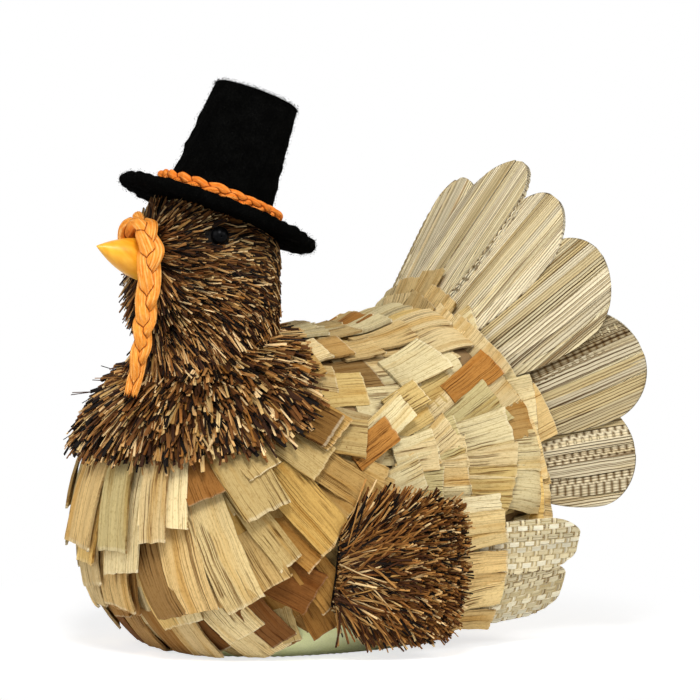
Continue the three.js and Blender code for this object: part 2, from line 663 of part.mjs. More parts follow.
// Materials
const finish = (color, roughness) => new THREE.MeshStandardMaterial({ color, roughness, metalness: 0 });
const FOAM = finish(0xc9d3a0, 0.9);
const HUSK = finish(0xc9a868, 0.75);
const STRAW = finish(0x6a4828, 0.65);
const LEAF = finish(0xc4b189, 0.8);
const FELT_BLACK = finish(0x0b0b0c, 0.95);
const PAPER_ORANGE = finish(0xe8873a, 0.6);
const BEAK_YELLOW = finish(0xf2ab2e, 0.3);
const BEAD_BLACK = finish(0x050506, 0.15);
const WOOD = finish(0xd9b98a, 0.7);

const turkey = new THREE.Group();

function addPiece(name, solid, material, parent = turkey) {
  const mesh = new THREE.Mesh(geometryOf(solid), material);
  mesh.name = name;
  parent.add(mesh);
  return mesh;
}

// Foam cores and the dowel that joins them
const tailIndexes = Array.from({ length: 2 * LAST_FEATHER + 1 }, (_, i) => i - LAST_FEATHER);
const dowel = (grow) => solidOf(new THREE.CylinderGeometry(DOWEL_RADIUS + grow, DOWEL_RADIUS + grow,
  DOWEL_LENGTH + 2 * grow, 16).rotateX(Math.PI / 2).translate(0, -HEAD_FORWARD, DOWEL_LOW + DOWEL_LENGTH / 2));
const base = solidOf(new THREE.BoxGeometry(600, 600, 200).translate(0, 0, -100));
const tailSlots = wasm.Manifold.union(tailIndexes.map((index) => tailFeather(index, GLUE_GAP)));
const body = largestPiece(foamBody(0).subtract(base).subtract(tailSlots).subtract(dowel(GLUE_GAP)));
const neckSeat = foamBody(GLUE_GAP);
const head = headSolid(0, BODY_CENTRE_HEIGHT + NECK_SOCKET).subtract(neckSeat).subtract(hatCut()).subtract(dowel(GLUE_GAP));
addPiece('body_core', body, FOAM);
addPiece('head_core', largestPiece(head), FOAM);
addPiece('neck_dowel', dowel(0), WOOD);

// Face
const headRoom = headSolid(GLUE_GAP, BODY_CENTRE_HEIGHT + NECK_SOCKET);
addPiece('beak', largestPiece(beakSolid(0).subtract(headRoom)), BEAK_YELLOW);
addPiece('left_eye', largestPiece(eyeSolid(1, 0).subtract(headRoom)), BEAD_BLACK);
addPiece('right_eye', largestPiece(eyeSolid(-1, 0).subtract(headRoom)), BEAD_BLACK);
addPiece('snood_rope', snoodSolid(0), PAPER_ORANGE);

// Straw
const faceRoom = wasm.Manifold.union([
  beakSolid(GLUE_GAP), eyeSolid(1, GLUE_GAP), eyeSolid(-1, GLUE_GAP), snoodSolid(GLUE_GAP)]);
const neckRoom = headSolid(2 * GLUE_GAP + STRAW_MAT, BODY_CENTRE_HEIGHT + NECK_SOCKET);
const collarRoom = collarMat(GLUE_GAP).subtract(neckRoom).add(foamBody(SEAT_GAP));
const headMat = headStraw().subtract(hatCut()).subtract(faceRoom).subtract(collarRoom);
addPiece('head_straw', largestPiece(headMat), STRAW);
addPiece('collar_straw', largestPiece(collarStraw().subtract(neckRoom).subtract(snoodSolid(GLUE_GAP))), STRAW);

// Shingle courses: each is trimmed where the one above would press on it
let laid = wasm.Manifold.union([]);
for (let course = 0; course < COURSE_COUNT; course++) {
  const runs = chipRuns(courseChips(course));
  const loop = runs[0].every((chip) => chip.reach > 0) && runs.length === 1
    && Math.abs((runs[0].at(-1).end - runs[0][0].start) - 360) < 5;
  const seen = {};
  runs.forEach((run) => {
    const side = runs.length > 1 ? `_${sideName(run)}` : '';
    seen[side] = (seen[side] ?? 0) + 1;
    const name = `husk_course_${course + 1}${side}${seen[side] > 1 ? `_${seen[side]}` : ''}`;
    addPiece(name, largestPiece(shingleStrip(run, loop, 0).subtract(laid).subtract(neckSeat)), HUSK);
  });
  laid = wasm.Manifold.union([laid, ...runs.map((run) => shingleStrip(run, loop, GLUE_GAP))]);
}

// Tail
tailIndexes.forEach((index, i) => addPiece(`tail_feather_${i + 1}`, tailFeather(index, 0), LEAF));
addPiece('tail_coverts', tailCoverts(), HUSK);

// Wings: the right one mirrors the left one
for (const [name, mirror] of [['left', 1], ['right', -1]]) {
  const wing = new THREE.Group();
  wing.scale.x = mirror;
  turkey.add(wing);
  scatterState = 11;
  addPiece(`${name}_wing_straw`, largestPiece(wingStraw().subtract(GROUND)), STRAW, wing);
  addPiece(`${name}_wing_shingles`, largestPiece(wingShingles().subtract(GROUND)), HUSK, wing);
  for (const place of ['upper', 'lower']) {
    addPiece(`${name}_wing_feather_${place}`, largestPiece(wingFeather(place).subtract(GROUND)), LEAF, wing);
  }
}

// Hat: brim ring, foam block inside the crown, felt sleeve and top, and a cord band
const brimTop = BRIM_THICKNESS;
const seat = brimTop + GLUE_GAP;
const crownRadius = (height) => CROWN_LOW_RADIUS + ((CROWN_TOP_RADIUS - CROWN_LOW_RADIUS) * height) / CROWN_HEIGHT;
const holeRadius = CROWN_LOW_RADIUS - FELT - BRIM_LEDGE;
const edge = BRIM_THICKNESS / 2;
const brimProfile = [[holeRadius, 0], [BRIM_RADIUS - edge, 0], [BRIM_RADIUS - 0.3 * edge, 0.35 * edge],
  [BRIM_RADIUS, edge], [BRIM_RADIUS - 0.3 * edge, 1.65 * edge], [BRIM_RADIUS - edge, brimTop],
  [holeRadius, brimTop], [holeRadius, 0]];
const inside = (height) => crownRadius(height) - FELT;
const sleeveProfile = [[inside(0), seat], [crownRadius(0), seat], [crownRadius(CROWN_HEIGHT), seat + CROWN_HEIGHT],
  [inside(CROWN_HEIGHT), seat + CROWN_HEIGHT], [inside(0), seat]];
const blockProfile = [[0, seat], [inside(0) - GLUE_GAP, seat],
  [inside(CROWN_HEIGHT) - GLUE_GAP, seat + CROWN_HEIGHT], [0, seat + CROWN_HEIGHT]];
const topLow = seat + CROWN_HEIGHT + GLUE_GAP;
const topProfile = [[0, topLow], [CROWN_TOP_RADIUS, topLow], [CROWN_TOP_RADIUS + 0.2 * FELT, topLow + FELT / 2],
  [CROWN_TOP_RADIUS - 0.3 * FELT, topLow + FELT], [0, topLow + FELT]];
const bandHeight = seat + BAND_RADIUS;
const band = new THREE.TorusGeometry(CROWN_LOW_RADIUS + BAND_RADIUS + GLUE_GAP, BAND_RADIUS, 6, 26);
turkey.add(hat);
addPiece('hat_brim', solidOf(turned(brimProfile, 28)), FELT_BLACK, hat);
const crown = new THREE.Group();
crown.position.y = -CROWN_AHEAD;
hat.add(crown);
addPiece('hat_block', solidOf(turned(blockProfile, 24)), FOAM, crown);
addPiece('hat_crown', solidOf(turned(sleeveProfile, 24)), FELT_BLACK, crown);
addPiece('hat_top', solidOf(turned(topProfile, 24)), FELT_BLACK, crown);
addPiece('hat_band', solidOf(band.translate(0, 0, bandHeight)), PAPER_ORANGE, crown);

// The origin goes under the middle of the figure's box; the hanging cord isn't counted.
const box = new THREE.Box3();
turkey.updateMatrixWorld(true);
turkey.traverse((piece) => {
  if (piece.isMesh && piece.name !== 'snood_rope') box.expandByObject(piece, true);
});
const middle = box.getCenter(new THREE.Vector3());
turkey.position.set(-middle.x, -middle.y, -box.min.z);

const figure = new THREE.Group();
figure.add(turkey);
export default figure;
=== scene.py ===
import math

import bpy
import numpy as np
from mathutils import Matrix, Vector


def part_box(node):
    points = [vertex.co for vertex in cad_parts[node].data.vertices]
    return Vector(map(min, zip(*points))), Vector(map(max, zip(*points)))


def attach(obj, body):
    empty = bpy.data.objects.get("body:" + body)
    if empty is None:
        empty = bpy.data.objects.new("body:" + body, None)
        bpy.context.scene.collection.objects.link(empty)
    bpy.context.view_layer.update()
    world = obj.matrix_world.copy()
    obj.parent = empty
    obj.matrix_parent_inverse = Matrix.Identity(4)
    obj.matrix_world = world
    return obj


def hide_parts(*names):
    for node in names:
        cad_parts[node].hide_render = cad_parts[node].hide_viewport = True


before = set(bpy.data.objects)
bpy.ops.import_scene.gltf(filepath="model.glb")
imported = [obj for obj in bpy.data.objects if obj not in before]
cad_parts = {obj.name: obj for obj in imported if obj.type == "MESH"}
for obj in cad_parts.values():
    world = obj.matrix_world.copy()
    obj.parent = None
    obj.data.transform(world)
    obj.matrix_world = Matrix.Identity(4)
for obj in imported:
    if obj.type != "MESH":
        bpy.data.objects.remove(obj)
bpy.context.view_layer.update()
print("frame loaded:", len(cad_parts), "nodes")

# Work is in millimetres from the point under the body's centre, as in the CAD; toFrame gives metres.
headForward = 42.0
dowelLow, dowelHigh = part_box("neck_dowel")
bodyBack = (dowelLow.y + dowelHigh.y) * 500 + headForward


def toFrame(points):
    return (np.asarray(points, float) + (0, bodyBack, 0)) / 1000


# Camera, at the photograph's angle
lens = dict(azimuth=60, elevation=7, distance=6.0, width=0.301, right=0.0215, up=0.1247, ahead=4.0,
            sensor=36, farthest=100)


def lookBack(azimuth, elevation):  # from the object toward the camera or a lamp
    turn, rise = math.radians(azimuth), math.radians(elevation)
    return Vector((math.sin(turn) * math.cos(rise), -math.cos(turn) * math.cos(rise), math.sin(rise)))


def placeCamera():
    turn = math.radians(lens["azimuth"])
    back = lookBack(lens["azimuth"], lens["elevation"])
    right = Vector((math.cos(turn), math.sin(turn), 0))
    up = back.cross(right)
    under = Vector(toFrame([(0, lens["ahead"], 0)])[0])
    target = under + right * lens["right"] + up * lens["up"]
    data = bpy.data.cameras.new("camera")
    data.sensor_width = lens["sensor"]
    data.lens = lens["sensor"] * lens["distance"] / lens["width"]
    data.clip_end = lens["farthest"]
    camera = bpy.data.objects.new("camera", data)
    camera.matrix_world = Matrix((right, up, back)).transposed().to_4x4()
    camera.location = target + back * lens["distance"]
    bpy.context.scene.collection.objects.link(camera)
    bpy.context.scene.camera = camera


placeCamera()
print("camera placed")


# Small helpers
def shade(code):
    parts = [int(code[i:i + 2], 16) / 255 for i in (0, 2, 4)]
    return np.array([p / 12.92 if p <= 0.04045 else ((p + 0.055) / 1.055) ** 2.4 for p in parts])


def smooth(value, low, high):
    share = np.clip((np.asarray(value, float) - low) / (high - low), 0, 1)
    return share * share * (3 - 2 * share)


def unit(vectors):
    return vectors / np.maximum(np.linalg.norm(vectors, axis=-1, keepdims=True), 1e-9)


toneSpread = (0.84, 1.1)  # darkest and palest copy of a colour
# Painted shade: a plate's underside is drawn darker than its top
underPaintedShade = 0.8  # a plate's underside is darker than its top


def pick(rng, palette, count):
    codes = np.array([shade(code) for code, _ in palette])
    odds = np.array([odd for _, odd in palette], float)
    tone = codes[rng.choice(len(palette), count, p=odds / odds.sum())]
    return np.clip(tone * rng.uniform(*toneSpread, (count, 1)), 0, 1)


def anyPhase(rng):  # anywhere in a wave
    return rng.uniform(0, 6.3)


def anyGrain(rng, count=None):  # a place of its own in the grain's pattern
    return rng.uniform(0, 900, count)


def newHeap():
    return dict(points=[], faces=[], tone=[], grain=[], count=0)


def pile(heap, points, faces, tone, grain):
    points = np.asarray(points, float).reshape(-1, 3)
    heap["points"].append(points)
    heap["faces"].append(np.asarray(faces, int) + heap["count"])
    heap["tone"].append(np.broadcast_to(tone, points.shape))
    heap["grain"].append(np.broadcast_to(grain, points.shape))
    heap["count"] += len(points)


def gridFaces(rows, columns, loop=False):
    grid = np.arange(rows * columns).reshape(rows, columns)
    if loop:
        grid = np.c_[grid, grid[:, :1]]
    return np.stack([grid[:-1, :-1], grid[:-1, 1:], grid[1:, 1:], grid[1:, :-1]], -1).reshape(-1, 4)


# A thin plate over a grid of points, with a rim of its own colour
def addPlate(heap, middle, normal, thick, tone, rimTone, grain):
    rows, columns = middle.shape[:2]
    top, under = middle + normal * thick / 2, middle - normal * thick / 2
    faces = gridFaces(rows, columns)
    grid = np.arange(rows * columns).reshape(rows, columns)
    rim = np.concatenate([grid[0], grid[1:, -1], grid[-1, -2::-1], grid[-2:0:-1, 0]])
    ring = np.arange(len(rim))
    after = np.roll(ring, -1)
    tone = np.broadcast_to(tone, middle.shape).reshape(-1, 3)
    rimTone = np.broadcast_to(rimTone, middle.shape).reshape(-1, 3)[rim]
    grain = grain.reshape(-1, 3)
    pile(heap, top, faces, tone, grain)
    # the underside takes painted shade
    pile(heap, under, faces[:, ::-1], tone * underPaintedShade, grain)
    edge = np.vstack([top.reshape(-1, 3)[rim], under.reshape(-1, 3)[rim]])
    side = np.stack([ring, ring + len(rim), after + len(rim), after], -1)
    pile(heap, edge, side, np.vstack([rimTone, rimTone]), np.vstack([grain[rim], grain[rim]]))


def makePiece(name, heap, look, replaced=(), soft=True, mirrored=False):
    points = np.vstack(heap["points"])
    faces = np.vstack(heap["faces"])
    if mirrored:
        points, faces = points * (-1, 1, 1), faces[:, ::-1]
    mesh = bpy.data.meshes.new(name)
    mesh.from_pydata(toFrame(points).tolist(), [], faces.tolist())
    tone = np.vstack(heap["tone"])
    tone = np.c_[tone, np.ones(len(tone))].astype(np.float32)
    mesh.attributes.new("tone", "FLOAT_COLOR", "POINT").data.foreach_set("color", tone.ravel())
    grain = np.vstack(heap["grain"]).astype(np.float32)
    mesh.attributes.new("grain", "FLOAT_VECTOR", "POINT").data.foreach_set("vector", grain.ravel())
    mesh.polygons.foreach_set("use_smooth", [soft] * len(mesh.polygons))
    mesh.materials.append(look)
    mesh.update()
    piece = bpy.data.objects.new(name, mesh)
    bpy.context.scene.collection.objects.link(piece)
    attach(piece, "root")
    if replaced:
        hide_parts(*replaced)
    return piece


# Looks
def newLook(name, **sockets):
    look = bpy.data.materials.new(name)
    look.use_nodes = True
    shader = look.node_tree.nodes["Principled BSDF"]
    for socket, value in sockets.items():
        shader.inputs[socket.replace("_", " ")].default_value = value
    return look, look.node_tree, shader


def addNode(tree, kind, inputs=None, **settings):
    made = tree.nodes.new(kind)
    for key, value in settings.items():
        setattr(made, key, value)
    for key, value in (inputs or {}).items():
        if isinstance(value, bpy.types.NodeSocket):
            tree.links.new(value, made.inputs[key])
        else:
            made.inputs[key].default_value = value
    return made


def addRamp(tree, source, stops):
    ramp = addNode(tree, "ShaderNodeValToRGB", {"Fac": source})
    elements = ramp.color_ramp.elements
    while len(elements) < len(stops):
        elements.new(0.5)
    for element, (place, value) in zip(elements, stops):
        element.position = place
        element.color = (*value, 1) if hasattr(value, "__len__") else (value, value, value, 1)
    return ramp.outputs["Color"]


def attribute(tree, name):
    found = addNode(tree, "ShaderNodeAttribute", attribute_name=name)
    return found.outputs["Color" if name == "tone" else "Vector"]


def noise(tree, place, scale, detail=3.0, rough=0.6):
    settings = {"Vector": place, "Scale": scale, "Detail": detail, "Roughness": rough}
    return addNode(tree, "ShaderNodeTexNoise", settings).outputs["Fac"]


def maths(tree, operation, one, other):
    return addNode(tree, "ShaderNodeMath", {0: one, 1: other}, operation=operation).outputs[0]


def vectorMaths(tree, operation, one, other):
    return addNode(tree, "ShaderNodeVectorMath", {0: one, 1: other}, operation=operation).outputs[0]


def stretched(tree, source, scale, detail=3.0, rough=0.6):
    return noise(tree, vectorMaths(tree, "MULTIPLY", source, scale), 1.0, detail, rough)


def times(tree, one, other):
    mixed = addNode(tree, "ShaderNodeMix", {"Factor": 1.0}, data_type="RGBA", blend_type="MULTIPLY")
    tree.links.new(one, mixed.inputs[6])
    tree.links.new(other, mixed.inputs[7])
    return mixed.outputs[2]


# A colour that shows only by its share, over white
def faded(tree, share, colour):
    mixed = addNode(tree, "ShaderNodeMix", {"Factor": share}, data_type="RGBA")
    mixed.inputs[6].default_value = (1, 1, 1, 1)
    tree.links.new(colour, mixed.inputs[7])
    return mixed.outputs[2]


def bumped(tree, shader, height, strength, distance):
    settings = {"Strength": strength, "Distance": distance, "Height": height}
    relief = addNode(tree, "ShaderNodeBump", settings)
    tree.links.new(relief.outputs["Normal"], shader.inputs["Normal"])


def painted(tree, shader, colour):
    tree.links.new(colour, shader.inputs["Base Color"])


def roughened(tree, shader, source, low, high):
    level = addNode(tree, "ShaderNodeMapRange", {"Value": source, "To Min": low, "To Max": high})
    tree.links.new(level.outputs[0], shader.inputs["Roughness"])


def objectPlace(tree):
    return addNode(tree, "ShaderNodeTexCoord").outputs["Object"]


waveLength = 0.314  # of the wave texture at a scale of 1
pleatLines = dict(stretch=0.008, distortion=1.3, faintAcross=0.22)


# Dark lines between the pleats of a leaf, fainter in places
def pleated(tree, grain, width):
    stretch = pleatLines["stretch"]
    place = vectorMaths(tree, "MULTIPLY", grain, (waveLength / width, stretch, 1))
    settings = {"Vector": place, "Scale": 1.0, "Distortion": pleatLines["distortion"], "Detail Scale": 0.5}
    wave = addNode(tree, "ShaderNodeTexWave", settings).outputs["Fac"]
    lines = addRamp(tree, wave, [(0.05, (0.2, 0.14, 0.08)), (0.28, 0.95), (0.7, 1.05)])
    faint = stretched(tree, grain, (pleatLines["faintAcross"], stretch, 1), 2, 0.5)
    return faded(tree, addRamp(tree, faint, [(0.34, 0.3), (0.62, 1.0)]), lines)


dryGrain = dict(sway=(0.05, 0.09, 1), streakStretch=0.07, crackStretch=1.5, speck=(1.1, 0.6, 1),
                patchAcross=0.1, hairline=(0.26, 0.17, 0.09), relief=0.0006)


# Dry plant: colour from the piece, with lengthwise fibres, darker streaks, and hairline cracks in places
def dryLook(name, kind, **sockets):
    look, tree, shader = newLook(name, **sockets)
    fibre, streak, crack, hair = (kind[key] for key in ("fibre", "streak", "crack", "hair"))
    grain = attribute(tree, "grain")
    sideways = stretched(tree, grain, dryGrain["sway"], 2, 0.5)
    sway = addNode(tree, "ShaderNodeCombineXYZ", {"X": sideways})
    shift = vectorMaths(tree, "MULTIPLY", sway.outputs[0], (kind["sway"], 0, 0))
    grain = vectorMaths(tree, "ADD", grain, shift)
    fine = stretched(tree, grain, (fibre, fibre * kind["stretch"], 1), 5, 0.75)
    broad = stretched(tree, grain, (streak, streak * dryGrain["streakStretch"], 1), 2, 0.5)
    crackAlong = crack * kind["stretch"] * dryGrain["crackStretch"]
    thin = stretched(tree, grain, (crack, crackAlong, 1), 2, 0.5)
    speck = stretched(tree, grain, dryGrain["speck"], 3, 0.7)
    cloud = stretched(tree, grain, (dryGrain["patchAcross"], kind["patch"], 1), 2, 0.5)
    colour = attribute(tree, "tone")
    for pattern, stops in ((fine, [(0.36, kind["dark"]), (0.46, 0.97), (0.64, 1.07)]),
                           (broad, [(0.33, kind["stain"]), (0.46, 1.0), (0.75, 1.03)]),
                           (speck, [(0.32, kind["speck"]), (0.48, 1.0), (0.7, 1.04)])):
        colour = times(tree, colour, addRamp(tree, pattern, stops))
    if kind["pleat"]:
        colour = times(tree, colour, pleated(tree, grain, kind["pleat"]))
    hairline = addRamp(tree, thin, [(0.5 - hair, 1.0), (0.5, dryGrain["hairline"]), (0.5 + hair, 1.0)])
    cracks = faded(tree, addRamp(tree, cloud, [(0.47, 0.0), (0.57, 1.0)]), hairline)
    painted(tree, shader, times(tree, colour, cracks))
    bumped(tree, shader, maths(tree, "ADD", fine, cracks), kind["bump"], dryGrain["relief"])
    return look


huskKind = dict(fibre=2.3, stretch=0.007, dark=(0.5, 0.39, 0.25), streak=0.2, stain=(0.86, 0.74, 0.55),
                speck=(0.82, 0.76, 0.66), crack=0.42, hair=0.03, sway=1.3, bump=0.7, pleat=0, patch=0.045)
leafKind = dict(fibre=1.7, stretch=0.0015, dark=(0.4, 0.32, 0.21), streak=0.36, stain=(0.95, 0.9, 0.8),
                speck=(0.94, 0.91, 0.87), crack=0.5, hair=0.04, sway=0.6, bump=0.7, pleat=1.3, patch=0.006)
weaveKind = dict(leafKind, dark=(0.72, 0.64, 0.5), pleat=0)
strawKind = dict(fibre=1.8, stretch=0.03, dark=0.66, streak=0.5, stain=(0.7, 0.55, 0.4),
                 speck=(0.82, 0.76, 0.66), crack=0.4, hair=0.045, sway=1.0, bump=0.35, pleat=0, patch=0.07)
huskLook = dryLook("dryHusk", huskKind, Roughness=0.8, Specular_IOR_Level=0.08)
leafLook = dryLook("splitLeaf", leafKind, Roughness=0.8, Specular_IOR_Level=0.08)
weaveLook = dryLook("wovenLeaf", weaveKind, Roughness=0.8, Specular_IOR_Level=0.08)
strawLook = dryLook("cutStraw", strawKind, Roughness=0.6, Specular_IOR_Level=0.1)


def paperLook():
    look, tree, shader = newLook("twistedPaper", Roughness=0.7, Specular_IOR_Level=0.1)
    grain = attribute(tree, "grain")
    pleat = stretched(tree, grain, (1.5, 0.14, 1), 4, 0.7)
    crumple = stretched(tree, grain, (0.45, 0.3, 1), 3, 0.6)
    pleats = addRamp(tree, pleat, [(0.32, (0.84, 0.6, 0.38)), (0.44, 1.0), (0.72, (1.04, 1.1, 1.15))])
    colour = times(tree, attribute(tree, "tone"), pleats)
    colour = times(tree, colour, addRamp(tree, crumple, [(0.35, (0.94, 0.82, 0.66)), (0.55, 1.03)]))
    painted(tree, shader, colour)
    bumped(tree, shader, maths(tree, "ADD", pleat, crumple), 0.9, 0.001)
    return look


def feltLook():
    look, tree, shader = newLook("blackFelt", Roughness=1.0, Specular_IOR_Level=0.01)
    place = objectPlace(tree)
    nap = noise(tree, place, 1700.0, 3.0, 0.7)
    worn = noise(tree, place, 140.0)
    base = addRamp(tree, nap, [(0.38, shade("040404")), (0.6, shade("0a0a09")), (0.8, shade("1b1b1a"))])
    colour = times(tree, addRamp(tree, worn, [(0.35, 0.6), (0.7, 1.3)]), base)
    painted(tree, shader, times(tree, colour, attribute(tree, "tone")))
    bumped(tree, shader, nap, 0.8, 0.0008)
    return look


def beakLook():
    look, tree, shader = newLook("glossyBeak", Specular_IOR_Level=0.4, Coat_Weight=0.12, Coat_Roughness=0.3)
    cloud = stretched(tree, attribute(tree, "grain"), (0.25, 0.12, 1), 3, 0.55)
    base = addRamp(tree, cloud, [(0.3, shade("eb9c14")), (0.55, shade("f8b42a")), (0.8, shade("fcc746"))])
    painted(tree, shader, base)
    roughened(tree, shader, cloud, 0.3, 0.46)
    bumped(tree, shader, cloud, 0.12, 0.001)
    return look


def beadLook():
    look, tree, shader = newLook("blackBead", Specular_IOR_Level=0.05)
    place = objectPlace(tree)
    speck = noise(tree, place, 700.0, 2.0)
    base = addRamp(tree, speck, [(0.4, shade("020203")), (0.75, shade("08090a"))])
    painted(tree, shader, base)
    roughened(tree, shader, speck, 0.2, 0.4)
    return look


# Pale foam where it is bare; painted shade darkens it where chips cover it
def foamLook(name, covered):
    look, tree, shader = newLook(name, Roughness=0.85, Specular_IOR_Level=0.2)
    place = objectPlace(tree)
    settings = {"Vector": place, "Scale": 1300.0}
    cells = addNode(tree, "ShaderNodeTexVoronoi", settings, feature="DISTANCE_TO_EDGE").outputs["Distance"]
    cloud = noise(tree, place, 60.0, 4.0)
    base = addRamp(tree, cloud, [(0.3, shade("eef4b4")), (0.6, shade("f6fac6")), (0.8, shade("fbfddc"))])
    colour = times(tree, base, addRamp(tree, cells, [(0.0, 0.86), (0.12, 1.0)]))
    if covered:
        colour = times(tree, colour, attribute(tree, "tone"))
    painted(tree, shader, colour)
    bumped(tree, shader, cells, 0.35, 0.0008)
    return look


def woodLook():
    look, tree, shader = newLook("palePeg", Roughness=0.6)
    rings = stretched(tree, objectPlace(tree), (900, 900, 40), 3, 0.6)
    base = addRamp(tree, rings, [(0.3, shade("b58f5c")), (0.6, shade("dcbf90"))])
    painted(tree, shader, base)
    return look


paper, felt, beakYellow, beadBlack = paperLook(), feltLook(), beakLook(), beadLook()
innerFoam, bodyFoam, wood = foamLook("innerFoam", False), foamLook("bodyFoam", True), woodLook()
for nodeName, look in (("head_core", innerFoam), ("hat_block", innerFoam), ("neck_dowel", wood)):
    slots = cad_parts[nodeName].data.materials
    slots.clear()
    slots.append(look)
print("looks mixed")


# The body's surface, repeated from the CAD
bodyShape = dict(half=(70, 90, 71), fullness=2.4, height=60, ridge=17, frontSpread=11, rearSpread=17, lean=33)
fanShape = dict(sweep=(0, 21, 34, 33, 36), lift=(51, 49, 40, 24, 10), reach=(181, 173, 171, 164, 149))
bodyCentre = np.array([0, 0, bodyShape["height"]], float)


# A smooth curve through knots, the same as in the CAD
def curveAt(knots, share):
    knots = np.asarray(knots, float)
    longer = np.vstack([2 * knots[0] - knots[1], knots, 2 * knots[-1] - knots[-2]])
    spot = np.clip(np.asarray(share, float), 0, 1) * (len(knots) - 1)
    cell = np.minimum(spot.astype(int), len(knots) - 2)
    t = (spot - cell)[:, None]
    p0, p1, p2, p3 = (longer[cell + k] for k in range(4))
    d0, d1, d2 = (np.sqrt(np.linalg.norm(b - a, axis=1))[:, None] for a, b in ((p0, p1), (p1, p2), (p2, p3)))
    m1 = ((p1 - p0) / d0 - (p2 - p0) / (d0 + d1) + (p2 - p1) / d1) * d1
    m2 = ((p2 - p1) / d1 - (p3 - p1) / (d1 + d2) + (p3 - p2) / d2) * d1
    return p1 + m1 * t + (3 * (p2 - p1) - 2 * m1 - m2) * t ** 2 + (2 * (p1 - p2) + m1 + m2) * t ** 3


def featherDirection(index):
    sweep = math.radians(fanShape["sweep"][abs(index)]) * (1 if index > 0 else -1)
    lift = math.radians(fanShape["lift"][abs(index)])
    return np.array([math.sin(sweep) * math.cos(lift), math.cos(sweep) * math.cos(lift), math.sin(lift)])


lastFeather = 4
fanEnd = lastFeather + 1
fanNudge = 0.01  # part of the way to the next feather, to measure slopes along the fan
fanKnots = [featherDirection(index) for index in range(-lastFeather, fanEnd)]
fanKnots = [2 * fanKnots[0] - fanKnots[1], *fanKnots, 2 * fanKnots[-1] - fanKnots[-2]]
fanSteps = np.linspace(-fanEnd, fanEnd, 2001)
fanTable = unit(curveAt(fanKnots, (fanSteps + fanEnd) / (2 * fanEnd)))


def fanDirection(u):
    u = np.asarray(u, float)
    return unit(np.stack([np.interp(u, fanSteps, fanTable[:, k]) for k in range(3)], -1))


def fanSlope(u):
    return fanDirection(u + fanNudge) - fanDirection(u - fanNudge)


def fanNormal(u):
    return unit(np.cross(fanSlope(u), fanDirection(u)))


def fanSpread(u):
    return np.linalg.norm(fanSlope(u), axis=-1) / (2 * fanNudge)


fanPath = np.linspace(0.5 - fanEnd, fanEnd - 0.5, 91)
fanPathWays, fanPathFaces = fanDirection(fanPath), fanNormal(fanPath)


# Degrees from the tail's fan, and whether that is on its front
def nearFan(ways):
    cosines = ways @ fanPathWays.T
    best = cosines.argmax(-1)
    closest = np.take_along_axis(cosines, best[..., None], -1)[..., 0]
    return np.degrees(np.arccos(np.clip(closest, -1, 1))), (fanPathFaces[best] * ways).sum(-1) > 0


def bodyRadius(ways):
    power = bodyShape["fullness"]
    bulk = (np.abs(ways / np.array(bodyShape["half"])) ** power).sum(-1) ** (-1 / power)
    degrees, inFront = nearFan(ways)
    spread = np.where(inFront, bodyShape["frontSpread"], bodyShape["rearSpread"])
    return bulk + bodyShape["ridge"] * np.exp(-((degrees / spread) ** 2))


leanTurn = math.radians(bodyShape["lean"])
pole = np.array([0, -math.sin(leanTurn), math.cos(leanTurn)])
rearward = np.array([0, math.cos(leanTurn), math.sin(leanTurn)])


# away: degrees from the neck's pole; turn: degrees from the rear, growing to the bird's left
def ringWay(away, turn):
    away, turn = np.radians(away), np.radians(turn)
    across = np.cos(turn)[..., None] * rearward + np.sin(turn)[..., None] * np.array([1.0, 0, 0])
    return np.cos(away)[..., None] * pole + np.sin(away)[..., None] * across


def fromRear(turn):  # degrees from the rear on either side
    return 180 - np.abs(np.mod(turn, 360) - 180)


def onBody(ways):
    return ways * bodyRadius(ways)[..., None] + bodyCentre


def ringPoint(away, turn, lift):
    step = 0.5
    run = onBody(ringWay(away + step, turn)) - onBody(ringWay(away - step, turn))
    across = onBody(ringWay(away, turn + step)) - onBody(ringWay(away, turn - step))
    normal = unit(np.cross(across, run))
    return onBody(ringWay(away, turn)) + normal * np.asarray(lift)[..., None], normal, unit(run)


headShape = dict(height=168, radius=29.5, dome=31, neck=26, waist=137, flare=4, flareDrop=30)


def headRadius(height):
    height = np.asarray(height, float)
    middle, radius, waist = headShape["height"], headShape["radius"], headShape["waist"]
    dome = radius * np.sqrt(np.clip(1 - ((height - middle) / headShape["dome"]) ** 2, 0, 1))
    flare = headShape["flare"] * (1 - smooth(height, waist - headShape["flareDrop"], waist))
    neck = headShape["neck"] + (radius - headShape["neck"]) * smooth(height, waist, middle) + flare
    return np.where(height >= middle, dome, neck)


hatShape = dict(tilt=24, roll=1.5, back=5, height=184.8, crownAhead=2)
hatTilt = Matrix.Rotation(-math.radians(hatShape["tilt"]), 3, "X")
hatTurn = np.array(hatTilt @ Matrix.Rotation(-math.radians(hatShape["roll"]), 3, "Y"))
hatSpot = np.array([0, hatShape["back"] - headForward, hatShape["height"]])


def fromHat(points):
    return np.asarray(points, float) @ hatTurn.T + hatSpot


def overBrim(points):  # height above the brim's underside
    return (points - hatSpot) @ hatTurn[:, 2]


